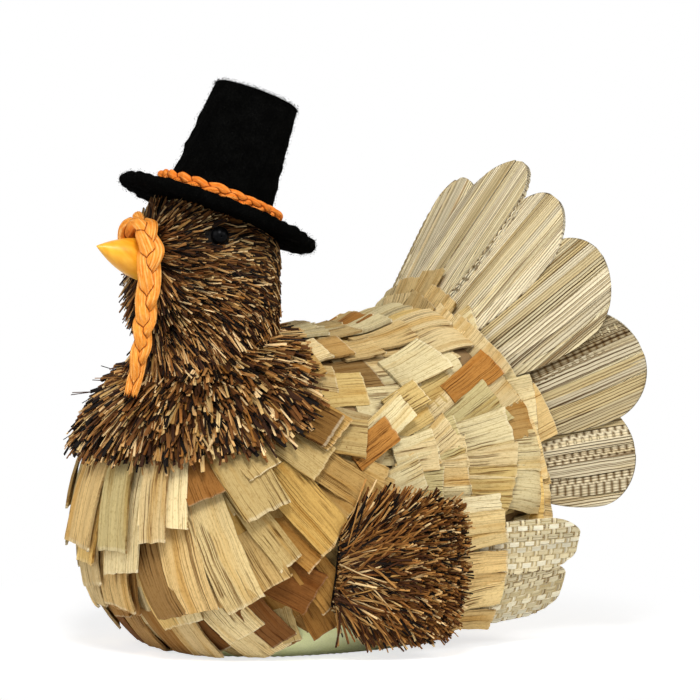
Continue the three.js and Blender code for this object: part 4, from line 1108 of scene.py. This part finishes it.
# Where straws differ, by height in millimetres and by turn in degrees from the beak, and how
headZones = dict(flat=dict(heights=(156, 172), turns=(75, 125), shorter=0.3, lower=0.7),
                 throat=dict(turns=(25, 60), heights=(146, 156), end=(163, 170), longer=0.25, higher=20),
                 neck=dict(heights=(146, 162), higher=9),
                 collar=dict(heights=(128, 146), longer=0.35, wider=0.6),
                 crown=dict(heights=(170, 190), shorter=0.2))
# How steeply the straws are combed down, in degrees
headComb = dict(neck=58, neckGain=0.2, cheek=6, cheekGain=0.0046, fromTurn=40, heights=(134, 166),
                browLift=62, browHeights=(171, 186), browTurn=120, throat=88, throatLoss=2.2, throatBelow=167,
                loose=12)
eyeSet = dict(height=181, turn=72, out=29.2)
beakHeight = 168.5
beakSpot = np.array([0, -headForward - headShape["radius"], beakHeight])
snoodLine = curveAt(snood["route"], np.linspace(0, 1, 60))


def eyeWay(side):
    turn = math.radians(eyeSet["turn"])
    return np.array([side * math.sin(turn), -math.cos(turn), 0.0])


def eyeSpot(side):
    return eyeWay(side) * eyeSet["out"] + (0, -headForward, eyeSet["height"])


def clearOfSnood(points):
    away = np.linalg.norm(points[:, None] - snoodLine[None], axis=-1).min(-1)
    return away > snood["radius"] * snood["clear"]


# A dark sheet under the head's straws: painted shade between them
def addHeadShadeSheet(heap):
    middle, columns = headShape["height"], headStraw["groundColumns"]
    domeHeights = middle + headShape["dome"] * np.sin(np.linspace(*headStraw["groundDome"]))
    heights = np.r_[np.linspace(headStraw["low"], middle, headStraw["groundRows"]), domeHeights]
    angle = np.linspace(0, 2 * math.pi, columns, endpoint=False)
    radius = (headRadius(heights) + headStraw["groundLift"])[:, None]
    level = np.broadcast_to(heights[:, None], (len(heights), columns))
    points = np.stack([radius * np.sin(angle), -radius * np.cos(angle) - headForward, level], -1)
    points = points - np.maximum(overBrim(points) + 1, 0)[..., None] * hatTurn[:, 2]
    pile(heap, points, gridFaces(len(heights), columns, True), shade(straw["ground"]), points.reshape(-1, 3))


# Straws run from the beak back over the cheeks, up to the brim, and down the neck
def headWays(rng, height, turn, normal):
    flank = np.abs(turn)
    a = np.radians(turn)
    level = np.zeros(len(turn))
    backward = np.stack([np.cos(a), np.sin(a), level], -1) * np.sign(turn)[:, None]
    backward = unit(backward - normal * (backward * normal).sum(-1, keepdims=True))
    downward = unit(np.array([0, 0, -1.0]) + normal * normal[:, 2:3])
    past = flank - headComb["fromTurn"]
    onNeck = headComb["neck"] + headComb["neckGain"] * past
    onHead = headComb["cheek"] + headComb["cheekGain"] * np.maximum(past, 0) ** 2
    dip = onNeck + (onHead - onNeck) * smooth(height, *headComb["heights"])
    brow = headComb["browLift"] * smooth(height, *headComb["browHeights"])
    dip = dip - brow * np.clip(1 - flank / headComb["browTurn"], 0, 1)
    throat = np.maximum(dip, headComb["throat"] - headComb["throatLoss"] * flank)
    dip = np.where(height < headComb["throatBelow"], throat, dip)
    dip = dip + rng.normal(0, headComb["loose"], len(turn))
    dip = np.radians(dip)[:, None]
    return backward * np.cos(dip) + downward * np.sin(dip), np.cos(dip[:, 0])


def makeHeadStraw():
    rng = np.random.default_rng(headStraw["seed"])
    height = rng.uniform(headStraw["low"] + 2, headStraw["high"], headStraw["count"])
    odds = np.clip(headRadius(height) / headShape["radius"], headStraw["leastShare"], 1)
    height = height[rng.random(len(height)) < odds]
    count = len(height)
    turn = rng.uniform(-180, 180, count)
    flank = np.abs(turn)
    a = np.radians(turn)
    level = np.zeros(count)
    out = np.stack([np.sin(a), -np.cos(a), level], -1)
    slope = np.clip((headRadius(height + 1) - headRadius(height - 1)) / 2, -3, 3)
    normal = unit(out - np.stack([level, level, slope], -1))
    roots = out * (headRadius(height) + rng.uniform(*headStraw["seat"], count))[:, None]
    roots = roots + np.stack([level, level - headForward, height], -1)
    along, levelShare = headWays(rng, height, turn, normal)
    flatZone, throatZone, crown = headZones["flat"], headZones["throat"], headZones["crown"]
    neck, collar = headZones["neck"], headZones["collar"]
    flat = smooth(height, *flatZone["heights"]) * smooth(flank, *flatZone["turns"])
    throat = (1 - smooth(flank, *throatZone["turns"])) * smooth(height, *throatZone["heights"])
    throat = throat * (1 - smooth(height, *throatZone["end"]))
    onNeck = 1 - smooth(height, *neck["heights"])
    nearCollar = 1 - smooth(height, *collar["heights"])
    stretch = 1 - flatZone["shorter"] * flat + throatZone["longer"] * throat + collar["longer"] * nearCollar
    length = rng.uniform(*headStraw["length"], count) * stretch
    length = length * (1 - crown["shorter"] * smooth(height, *crown["heights"]))
    rise = rng.uniform(*headStraw["rise"], count) * (1 - flatZone["lower"] * flat)
    rise = rise + throatZone["higher"] * throat + neck["higher"] * onNeck
    droop = length * levelShare ** 2 / (2 * headShape["radius"]) + headStraw["droop"]
    tips = roots + along * length[:, None]
    clear = (overBrim(roots) < -headStraw["brimGap"]) & (overBrim(tips) < headStraw["brimPass"])
    fromBeak = (roots - beakSpot) * (1, headStraw["beakDepth"], 1)
    clear &= np.linalg.norm(fromBeak, axis=-1) > headStraw["beakClear"]
    for share in (0.0, 0.5, 1.0):
        probe = roots + along * (length * share)[:, None]
        for side in (1, -1):
            clear &= np.linalg.norm(probe - eyeSpot(side), axis=-1) > headStraw["eyeClear"]
        clear &= clearOfSnood(probe + normal * (length * share * headStraw["probeLift"])[:, None])
    roots, along, normal, length = only(clear, roots, along, normal, length)
    rise, droop, nearCollar = only(clear, rise, droop, nearCollar)
    tones, stems = strawColours(rng, len(roots), strawTones, headStraw["stems"])
    # painted shade: straws under the hat's brim are drawn darker, as its shadow
    tones = tones * (1 - headStraw["brimPaintedShade"] * smooth(roots[:, 2], *headStraw["brimShadeHeights"]))[:, None]
    width = rng.uniform(*headStraw["width"], len(roots)) * np.where(stems, straw["stemWidth"], 1)
    width = width * (1 + collar["wider"] * nearCollar)
    onHead = roots[:, 2] > headStraw["split"]
    for name, chosen in (("headStraw", onHead), ("neckStraw", ~onHead)):
        heap = newHeap()
        if name == "headStraw":
            addHeadShadeSheet(heap)
        addStraws(heap, rng, *only(chosen, roots, along, normal, length, width, rise, droop, tones))
        makePiece(name, heap, strawLook, ["head_straw"], soft=False)
    print("head straws:", len(roots))


makeHeadStraw()

# Collar: tiers of longer straws; its hem is lower at the shoulders than at the breast and the nape
collarStraw = dict(count=6800, length=(12, 21), width=(0.6, 1.9), seat=(0.1, 2.4), rise=(4, 19),
                   rearRise=0.45, riseTurns=(40, 95), droop=0.1, stems=0.12, swing=12, lift=2.2, inner=14,
                   top=20, tiers=1.3, hemSpread=1.2,
                   hem=((0, 30), (40, 31), (60, 36), (74, 44), (86, 54), (105, 55), (125, 52), (150, 48.5),
                        (180, 46)),
                   radius=78, shortest=4, neckClear=20, probeLift=0.12, groundRows=14, groundColumns=90,
                   groundShort=8, groundLift=0.4, strays=60, strayWidth=0.22, strayRise=(25, 50), seed=61)


def collarLift(away):
    return husk["seat"] + collarStraw["lift"] * (1 + np.maximum(0, (away - husk["first"]) / husk["step"]))


def collarHem(turn):
    return np.interp(fromRear(turn), *zip(*collarStraw["hem"]))


def makeCollar():
    rng = np.random.default_rng(collarStraw["seed"])
    heap = newHeap()
    inner, rows, columns = collarStraw["inner"], collarStraw["groundRows"], collarStraw["groundColumns"]
    turn = np.broadcast_to(np.linspace(0, 360, columns, endpoint=False), (rows, columns))
    reach = collarHem(turn) - collarStraw["groundShort"] - inner
    away = inner + np.linspace(0, 1, rows)[:, None] * reach
    under = ringPoint(away, turn, collarLift(away) + collarStraw["groundLift"])[0]
    # a dark sheet under the collar's straws, painted shade
    pile(heap, under, gridFaces(rows, columns, True), shade(straw["ground"]), under.reshape(-1, 3))
    count = collarStraw["count"]
    turn = rng.uniform(0, 360, count)
    hem = collarHem(turn) + rng.normal(0, collarStraw["hemSpread"], count)
    tip = hem - (hem - collarStraw["top"]) * rng.random(count) ** collarStraw["tiers"]
    length = rng.uniform(*collarStraw["length"], count)
    perDegree = math.radians(collarStraw["radius"])
    away = np.maximum(tip - length / perDegree, inner - 2 + rng.uniform(0, 3, count))
    length = (tip - away) * perDegree
    roots, normal, along = ringPoint(away, turn, collarLift(away) + rng.uniform(*collarStraw["seat"], count))
    along = swung(rng, along, normal, collarStraw["swing"])
    rearRise = collarStraw["rearRise"]
    rise = rearRise + (1 - rearRise) * smooth(fromRear(turn), *collarStraw["riseTurns"])
    rise = rng.uniform(*collarStraw["rise"], count) * rise
    clear = np.hypot(roots[:, 0], roots[:, 1] + headForward) > collarStraw["neckClear"]
    clear &= length > collarStraw["shortest"]
    for share in (0.0, 0.5, 1.0):
        lifted = along + normal * collarStraw["probeLift"]
        clear &= clearOfSnood(roots + lifted * (length * share)[:, None])
    roots, along, normal, length, rise = only(clear, roots, along, normal, length, rise)
    tones, stems = strawColours(rng, len(roots), strawTones, collarStraw["stems"])
    width = rng.uniform(*collarStraw["width"], len(roots)) * np.where(stems, straw["stemWidth"], 1)
    strays = rng.choice(len(roots), collarStraw["strays"], replace=False)
    width[strays] = collarStraw["strayWidth"]
    rise[strays] = rng.uniform(*collarStraw["strayRise"], len(strays))
    droop = np.full(len(roots), collarStraw["droop"])
    addStraws(heap, rng, roots, along, normal, length, width, rise, droop, tones)
    makePiece("collarStraw", heap, strawLook, ["collar_straw"], soft=False)
    print("collar straws:", len(roots))


makeCollar()

# Wings: straw tuft, a row of chips and two woven feathers
wingStraw = dict(count=7000, lengthFront=(14, 26), lengthBack=(6, 12), width=(0.4, 1.15), seat=(0.2, 2.4),
                 riseFront=5, riseBack=50, riseSpread=(3, 9), droop=0.08, stems=0.03, swing=19, fan=1.15,
                 lowest=0.8, rootHalf=20, crowding=0.85, ragged=2.5, narrower=0.16, overChips=1.6,
                 clearGround=5, groundRows=14, groundColumns=12, groundInset=2, groundLift=0.4,
                 fullBefore=2, raggedFrom=0.7, narrowFrom=0.6, ahead=6)


def wingPoint(down, back, lift):
    near = np.minimum(back, wing["leave"])

    def at(d, b):
        return onBody(unit(wingMiddle + d[..., None] * wingDown + b[..., None] * wingBack))
    run = at(down, near + 0.5) - at(down, near - 0.5)
    normal = unit(np.cross(at(down + 0.5, near) - at(down - 0.5, near), run))
    ahead = unit(unit(run) + normal * wing["flare"])
    points = at(down, near) + normal * np.asarray(lift)[..., None] + ahead * (back - near)[..., None]
    return points, normal


def wingHalf(back):
    part = np.clip((back - wing["front"]) / (wing["chips"] - wing["front"]), 0, 1)
    return wingStraw["rootHalf"] + (wing["half"] - wingStraw["rootHalf"]) * np.sqrt(part)


def strawLift(back):
    rise = 2 * wing["layer"] + wingStraw["overChips"]
    return wing["seat"] + rise * smooth(back, wing["front"], wing["chips"] - wingStraw["fullBefore"])


def makeWingStraw(name, mirrored, rng):
    heap = newHeap()
    front, stop, lowest = wing["front"], wing["chips"], wingStraw["lowest"]
    rows, columns = wingStraw["groundRows"], wingStraw["groundColumns"]
    back, share = np.meshgrid(np.linspace(front, stop, rows), np.linspace(-1, lowest, columns), indexing="ij")
    half = wingHalf(back) - wingStraw["groundInset"]
    under = wingPoint(share * half, back, strawLift(back) + wingStraw["groundLift"])[0]
    under[..., 2] = np.maximum(under[..., 2], wingStraw["clearGround"] + 1)
    # a dark sheet under the wing's straws, painted shade
    pile(heap, under, gridFaces(rows, columns), shade(straw["ground"]), under.reshape(-1, 3))
    count = wingStraw["count"]
    part = rng.random(count) ** wingStraw["crowding"]
    ragged = np.abs(rng.normal(0, wingStraw["ragged"], count)) * smooth(part, wingStraw["raggedFrom"], 1)
    back = front + (stop + 1 - front) * part - ragged
    share = rng.uniform(-1, lowest, count)
    half = wingHalf(back) * (1 - wingStraw["narrower"] * smooth(part, wingStraw["narrowFrom"], 1))
    roots, normal = wingPoint(share * half, back, strawLift(back) + rng.uniform(*wingStraw["seat"], count))
    fanned = share * half * wingStraw["fan"]
    onward = wingPoint(fanned, back + wingStraw["ahead"], strawLift(back))[0]
    onward = onward - wingPoint(share * half, back, strawLift(back))[0]
    along = unit(onward - normal * (onward * normal).sum(-1, keepdims=True))
    along = swung(rng, along, normal, wingStraw["swing"])
    longer, shorter = (rng.uniform(*wingStraw[key], count) for key in ("lengthFront", "lengthBack"))
    length = longer + (shorter - longer) * part
    rise = wingStraw["riseFront"] + (wingStraw["riseBack"] - wingStraw["riseFront"]) * part
    least, more = wingStraw["riseSpread"]
    rise = rise + rng.normal(0, least + more * part, count)
    clear = (roots + along * length[:, None])[:, 2] > wingStraw["clearGround"]
    roots, along, normal, length, rise = only(clear, roots, along, normal, length, rise)
    tones, _ = strawColours(rng, len(roots), wingTones, wingStraw["stems"])
    width = rng.uniform(*wingStraw["width"], len(roots))
    droop = np.full(len(roots), wingStraw["droop"])
    addStraws(heap, rng, roots, along, normal, length, width, rise, droop, tones)
    node = f"{name}_wing_straw"
    makePiece(f"{name}WingStraw", heap, strawLook, [node], soft=False, mirrored=mirrored)


wingChip = dict(count=7, thick=1.0, skew=0.1, twist=4, tip=(0.0, 1.6), curl=(-0.3, 0.5), longer=(0.9, 1.06),
                inset=1, lap=1.12, seat=0.4, warp=0.7, beside=0.5, lowest=0.6,
                tones=(("f2d596", 4), ("f6e5b6", 3), ("ebc988", 3), ("f3e0ac", 3)))


def makeWingChips(name, mirrored, rng):
    heap = newHeap()
    half = wing["half"] - wingChip["inset"]
    wide = 2 * half / wingChip["count"]
    for k in range(wingChip["count"]):
        length = wing["chipLength"] * rng.uniform(*wingChip["longer"])
        _, across, along, warp, grain = chipForm(rng, wide * wingChip["lap"], length, wingChip)
        down = -half + (k + 0.5) * wide + across
        lift = wing["seat"] + 2 * wing["layer"] + wingChip["seat"]
        lift = lift + warp * wingChip["warp"] + (k % 2) * wingChip["beside"]
        middle, normal = wingPoint(down, wing["chips"] + along, lift)
        middle[..., 2] = np.maximum(middle[..., 2], wingChip["lowest"])
        tone = pick(rng, wingChip["tones"], 1)[0]
        addPlate(heap, middle, normal, wingChip["thick"], *chipTones(rng, tone), grain)
    makePiece(f"{name}WingChips", heap, huskLook, [f"{name}_wing_shingles"], mirrored=mirrored)


paddle = dict(width=23, widest=0.66, roundTo=1.03, middle=dict(upper=-4, lower=22), trim=1, seat=0.6,
              rise=dict(upper=0.0, lower=0.16), lowest=0.5, cardThick=0.3, cardGrain=14, strand=2.3,
              strandWidth=0.88, strandSway=0.25, tie=3.6, tieWidth=1.2, thick=0.5, wave=0.36,
              cardRows=30, cardColumns=9, tiePoints=6, lanePoints=4, swayWaves=9, swayStep=2,
              rim="f2e9cf", card="c9b486",
              tones=(("f3e6c0", 4), ("eee0b8", 3), ("f8f0d4", 2), ("e6d7ac", 1)))


def makePaddle(name, place, mirrored, rng):
    heap = newHeap()
    layer = 1 if place == "upper" else 0
    length = wing["end"] - wing["feathers"] - paddle["trim"] * (1 - layer)
    strand, rim = paddle["strand"], shade(paddle["rim"])
    lanes, rows = int(paddle["width"] / strand), int(length / paddle["tie"])

    def outline(part):
        past = np.clip(part - paddle["widest"], 0, None) / (paddle["roundTo"] - paddle["widest"])
        return paddle["width"] / 2 * np.sqrt(np.clip(1 - past * past, 0, 1))

    def at(part, across, lift):
        down = paddle["middle"][place] - paddle["rise"][place] * part * length + across
        seat = wing["seat"] + wing["layer"] * layer + paddle["seat"]
        points, normal = wingPoint(down, wing["feathers"] + part * length, seat + lift)
        points[..., 2] = np.maximum(points[..., 2], paddle["lowest"])
        return points, normal

    def addStrand(part, across, lift, lengthwise):
        middle, normal = at(part, across, lift)
        seed = np.full_like(part, anyGrain(rng))
        grain = np.stack([across, part * length, seed] if lengthwise else [part * length, across, seed], -1)
        addPlate(heap, middle, normal, paddle["thick"], pick(rng, paddle["tones"], 1)[0], rim, grain)

    cardRows, cardColumns = paddle["cardRows"], paddle["cardColumns"]
    part, q = np.meshgrid(np.linspace(0, 1, cardRows), np.linspace(-1, 1, cardColumns), indexing="ij")
    middle, normal = at(part, q * outline(part), np.zeros_like(part))
    grain = np.stack([q * paddle["cardGrain"], part * length, q * 0], -1)
    addPlate(heap, middle, normal, paddle["cardThick"], shade(paddle["card"]), rim, grain)
    for lane in range(lanes):
        lengths = np.linspace(0, 1, rows * paddle["tiePoints"] + 1)
        part, share = np.meshgrid(lengths, np.linspace(-0.5, 0.5, 3), indexing="ij")
        sway = np.sin(part * paddle["swayWaves"] + lane * paddle["swayStep"])
        centre = (lane + 0.5 - lanes / 2) * strand + paddle["strandSway"] * sway
        across = centre + share * strand * paddle["strandWidth"]
        across = np.clip(across, -outline(part), outline(part))
        addStrand(part, across, paddle["wave"] * np.cos(math.pi * (part * rows + lane - 0.5)), True)
    for row in range(rows):
        centre = (row + 0.5) / rows
        edge = float(outline(np.array([centre]))[0])
        breadth = np.linspace(-edge, edge, lanes * paddle["lanePoints"] + 1)
        share, across = np.meshgrid(np.linspace(-0.5, 0.5, 3), breadth, indexing="ij")
        part = np.clip(centre + share * paddle["tieWidth"] / length, 0, 1)
        across = np.clip(across, -outline(part), outline(part))
        lift = -paddle["wave"] * np.cos(math.pi * (across / strand + lanes / 2 - 0.5 + row))
        addStrand(part, across, lift, False)
    node = f"{name}_wing_feather_{place}"
    makePiece(f"{name}WingFeather{place.capitalize()}", heap, weaveLook, [node], mirrored=mirrored)


for wingName, mirrored in (("left", False), ("right", True)):
    wingRandom = np.random.default_rng(wing["seed"] + mirrored)
    makeWingStraw(wingName, mirrored, wingRandom)
    makeWingChips(wingName, mirrored, wingRandom)
    for place in ("upper", "lower"):
        makePaddle(wingName, place, mirrored, wingRandom)
print("wings made")


# A form turned from a profile of radius and height: the beak, the eyes and the hat
def addTurned(heap, profile, turns, tone, move):
    profile = np.asarray(profile, float)
    angle = np.linspace(0, 2 * math.pi, turns, endpoint=False)
    radius = np.broadcast_to(profile[:, :1], (len(profile), turns))
    height = np.broadcast_to(profile[:, 1:], radius.shape)
    points = np.stack([radius * np.sin(angle), -radius * np.cos(angle), height], -1)
    grain = np.stack([angle[None, :] * np.maximum(radius, 1), height, radius * 0], -1)
    pile(heap, move(points), gridFaces(len(profile), turns, True), tone, grain.reshape(-1, 3))


beak = dict(length=25.5, radius=9, height=beakHeight, rise=18, root=4, fullness=1.9, tone="f8b42a",
            hole=0.2, point=0.05, sideParts=(0, 0.94, 30), tipParts=(0.965, 0.982, 0.993, 0.999), turns=64)


def makeBeak():
    lean = math.radians(90 - beak["rise"])

    def move(points):
        y = points[..., 1] * math.cos(lean) - points[..., 2] * math.sin(lean)
        z = points[..., 1] * math.sin(lean) + points[..., 2] * math.cos(lean)
        out = -headForward - float(headRadius(beak["height"]))
        return np.stack([points[..., 0], y + out, z + beak["height"]], -1)
    part = np.r_[np.linspace(*beak["sideParts"]), beak["tipParts"]]
    radius = np.maximum(beak["radius"] * (1 - part ** beak["fullness"]), beak["point"])
    profile = [(beak["hole"], -beak["root"]), (beak["radius"], -beak["root"])]
    profile += list(zip(radius, part * beak["length"]))
    heap = newHeap()
    addTurned(heap, profile, beak["turns"], shade(beak["tone"]), move)
    makePiece("beakCone", heap, beakYellow, ["beak"])


makeBeak()

eye = dict(radius=3.9, flat=0.92, arc=(-1.5, 1.5, 28), point=0.05, hole=0.5, holeRim=0.05, holeDepth=0.4,
           turns=40, tone=(0.01, 0.01, 0.01))


def makeEyes():
    for name, side in (("left", 1), ("right", -1)):
        out, spot = eyeWay(side), eyeSpot(side)
        across, up = np.array([-out[1], out[0], 0]), np.array([0, 0, 1.0])

        def move(points):
            return spot + points[..., 0:1] * across + points[..., 1:2] * up + points[..., 2:3] * out
        radius, point = eye["radius"], eye["point"]
        turn = np.linspace(*eye["arc"])
        profile = [(max(radius * math.cos(t), point), radius * eye["flat"] * math.sin(t)) for t in turn]
        front = profile[-1][1]
        profile += [(eye["hole"], front - eye["holeRim"]), (point, front - eye["holeDepth"])]
        heap = newHeap()
        addTurned(heap, profile, eye["turns"], eye["tone"], move)
        makePiece(f"{name}Eye", heap, beadBlack, [f"{name}_eye"])


makeEyes()
print("face made")

# Hat: thick fuzzy felt with a plaited paper band
hatSizes = dict(brimRadius=44, brimThick=5, brimInner=17, lowRadius=23, topRadius=18.5, crownHeight=50.8,
                seat=5.3, edgeRound=2, turns=260, seam=0.01, brimRows=16, edgeRows=11, sideRows=24,
                roundFrom=0.15, roundRows=6, bulge=0.7, bulgeRadius=16, topRadii=(15.5, 0.05, 14), seed=81)
hatFelt = dict(inside=(17, 22), waves=14, waveLoss=5, wave=0.55, waveSize=5, lumps=0.5, sideLump=1.5,
               topLump=1.7, fuzz=12000, fuzzLength=(0.15, 0.45), fuzzWidth=0.13, fuzzRise=(5, 40),
               fuzzDroop=0.1, fuzzSpread=0.6, fuzzTone=(0.4, 1.0), paleShare=0.35, paleGain=9)
bandRing = 26.1
bandPlaits = 7
hatBand = dict(height=8.1, pitch=2 * math.pi * bandRing / bandPlaits, sway=1.4, dive=0.85, strand=(1.8, 1.65),
               fold=0.2, around=100, steps=421, start=0.4, tones=("fb8a2e", "8c2d06", "ffb868"))


def ruffle(points, rng, amount, size):
    shake = np.zeros(points.shape[:-1])
    for _ in range(hatFelt["waves"]):
        wave = rng.normal(0, 1 / size, 3)
        shake += np.sin(points @ wave + anyPhase(rng)) * amount / hatFelt["waveLoss"]
    return shake


def brimProfile():
    radius, thick, inner = hatSizes["brimRadius"], hatSizes["brimThick"], hatSizes["brimInner"]
    rows, seam, edge = hatSizes["brimRows"], hatSizes["seam"], thick / 2
    profile = [(inner, 0), (inner, seam)] + [(x, 0) for x in np.linspace(inner + 1, radius - edge, rows)]
    curve = np.linspace(-math.pi / 2, math.pi / 2, hatSizes["edgeRows"])[1:]
    profile += [(radius - edge + edge * math.cos(t), edge + edge * math.sin(t)) for t in curve]
    return profile + [(x, thick) for x in np.linspace(radius - edge - 1, inner, rows)] + [(inner, seam)]


def crownProfile():
    seat, tall, edge = hatSizes["seat"], hatSizes["crownHeight"], hatSizes["edgeRound"]
    low, top, rows = hatSizes["lowRadius"], hatSizes["topRadius"], hatSizes["sideRows"]
    profile = [(low + (top - low) * k / rows, seat + (tall - edge) * k / rows) for k in range(rows + 1)]
    curve = np.linspace(hatSizes["roundFrom"], math.pi / 2, hatSizes["roundRows"])
    profile += [(top - edge + edge * math.cos(t), seat + tall - edge + edge * math.sin(t)) for t in curve]
    bulge, wide = hatSizes["bulge"], hatSizes["bulgeRadius"]
    radii = np.linspace(*hatSizes["topRadii"])
    return profile + [(x, seat + tall + bulge * (1 - (x / wide) ** 2)) for x in radii]


def makeFelt(name, profile, replaced, ahead, rng):
    heap = newHeap()
    turns = hatSizes["turns"]
    shift = np.array([0, -ahead, 0.0])
    addTurned(heap, profile, turns, (1, 1, 1), lambda points: points)
    points = heap["points"][0]
    radial = unit(points * (1, 1, 0))
    outside = smooth(np.hypot(points[:, 0], points[:, 1]), *hatFelt["inside"])
    for amount, size in ((hatFelt["wave"], hatFelt["waveSize"]), (hatFelt["lumps"], hatFelt["sideLump"])):
        points += radial * (ruffle(points, rng, amount, size) * outside)[:, None]
    points[:, 2] += ruffle(points, rng, hatFelt["lumps"], hatFelt["topLump"]) * outside
    grid = points.reshape(len(profile), turns, 3)
    normal = unit(np.cross(np.roll(grid, -1, 1) - np.roll(grid, 1, 1), np.gradient(grid, axis=0)))
    total = hatFelt["fuzz"]
    row, column = rng.integers(2, len(profile) - 1, total), rng.integers(0, turns, total)
    roots, out = grid[row, column], normal[row, column]
    roots = roots + rng.normal(0, hatFelt["fuzzSpread"], roots.shape)
    lean = unit(np.cross(out, rng.normal(0, 1, out.shape)))
    isPale = (roots[:, 2] > hatSizes["crownHeight"]) & (rng.random(total) < hatFelt["paleShare"])
    tones = rng.uniform(*hatFelt["fuzzTone"], total) * np.where(isPale, hatFelt["paleGain"], 1)
    tones = np.repeat(tones[:, None], 3, 1)
    heap["points"][0] = fromHat(points + shift)
    width, length = np.full(total, hatFelt["fuzzWidth"]), rng.uniform(*hatFelt["fuzzLength"], total)
    rise, droop = rng.uniform(*hatFelt["fuzzRise"], total), np.full(total, hatFelt["fuzzDroop"])
    addStraws(heap, rng, fromHat(roots + shift), lean @ hatTurn.T, out @ hatTurn.T, length, width, rise,
              droop, tones, thick=hatFelt["fuzzWidth"], segments=1)
    makePiece(name, heap, felt, replaced)


def makeBand(rng):
    heap = newHeap()
    turn = np.linspace(math.pi, 3 * math.pi, hatBand["steps"])
    outward = np.stack([np.sin(turn), -np.cos(turn), np.zeros(len(turn))], -1)
    line = outward * bandRing + (0, 0, hatBand["height"])
    addPlait(heap, line, outward, 1, hatBand, rng)
    heap["points"][0] = fromHat(heap["points"][0] - (0, hatShape["crownAhead"], 0))
    makePiece("hatBand", heap, paper, ["hat_band"])


hatRandom = np.random.default_rng(hatSizes["seed"])
makeFelt("hatBrim", brimProfile(), ["hat_brim"], 0, hatRandom)
makeFelt("hatCrown", crownProfile(), ["hat_crown", "hat_top"], hatShape["crownAhead"], hatRandom)
makeBand(hatRandom)
print("hat made")

# Floor, light and background
studio = dict(ambient=0.14, aim=0.11, floorHalf=4, floorDrop=0.0004, floorGlow=0.72, floorShade=0.6,
              floorPlain=0.9, floorFade=(0.11, 0.22),
              lights=(("keyLight", 9.5, 0.4, 58, 46, 1.2), ("fillLight", 5.2, 1.0, 2, 27, 1.3),
                      ("sideLight", 6.5, 0.6, 118, 30, 1.3)))


# One for the rays that show a surface as it looks, and nought for those that carry its light
def shownRays(tree):
    ray = addNode(tree, "ShaderNodeLightPath").outputs
    seen = maths(tree, "MAXIMUM", ray["Is Camera Ray"], ray["Is Glossy Ray"])
    return maths(tree, "MAXIMUM", seen, ray["Is Transmission Ray"])


def mixedShader(tree, share, one, other):
    return addNode(tree, "ShaderNodeMixShader", {0: share, 1: one, 2: other}).outputs[0]


def diffuse(tree, level):
    return addNode(tree, "ShaderNodeBsdfDiffuse", {"Color": (level, level, level, 1)}).outputs[0]


def glowing(tree, strength):
    return addNode(tree, "ShaderNodeEmission", {"Color": (1, 1, 1, 1), "Strength": strength}).outputs[0]


def floorLook():
    look = bpy.data.materials.new("whiteFloor")
    look.use_nodes = True
    tree = look.node_tree
    tree.nodes.clear()
    low, high = studio["floorFade"]
    lit, glow = diffuse(tree, studio["floorShade"]), glowing(tree, studio["floorGlow"])
    near = addNode(tree, "ShaderNodeAddShader", {0: lit, 1: glow}).outputs[0]
    far = addNode(tree, "ShaderNodeVectorMath", {0: objectPlace(tree)}, operation="LENGTH")
    reach = {"Value": far.outputs["Value"], "From Min": low, "From Max": high}
    fade = addNode(tree, "ShaderNodeMapRange", reach, interpolation_type="SMOOTHSTEP").outputs[0]
    shown = mixedShader(tree, fade, near, glowing(tree, 1.0))
    final = mixedShader(tree, shownRays(tree), diffuse(tree, studio["floorPlain"]), shown)
    addNode(tree, "ShaderNodeOutputMaterial", {"Surface": final})
    return look


def makeStudio():
    mesh = bpy.data.meshes.new("floor")
    half, drop = studio["floorHalf"], studio["floorDrop"]
    corners = [(x * half, y * half, -drop) for x, y in ((-1, -1), (1, -1), (1, 1), (-1, 1))]
    mesh.from_pydata(corners, [], [(0, 1, 2, 3)])
    mesh.materials.append(floorLook())
    floor = bpy.data.objects.new("floor", mesh)
    bpy.context.scene.collection.objects.link(floor)
    world = bpy.data.worlds.new("studio")
    bpy.context.scene.world = world
    world.use_nodes = True
    tree = world.node_tree
    around = tree.nodes["Background"]
    around.inputs["Color"].default_value = (1, 1, 1, 1)
    strength = {"Value": shownRays(tree), "To Min": studio["ambient"], "To Max": 1.0}
    level = addNode(tree, "ShaderNodeMapRange", strength)
    tree.links.new(level.outputs[0], around.inputs["Strength"])
    for name, power, size, azimuth, elevation, far in studio["lights"]:
        data = bpy.data.lights.new(name, "AREA")
        data.shape, data.size, data.energy = "DISK", size, power
        lamp = bpy.data.objects.new(name, data)
        back = lookBack(azimuth, elevation)
        lamp.location = Vector((0, 0, studio["aim"])) + back * far
        lamp.rotation_euler = back.to_track_quat("Z", "Y").to_euler()
        bpy.context.scene.collection.objects.link(lamp)
    bpy.context.scene.view_settings.view_transform = "Standard"


makeStudio()
print("studio lit")
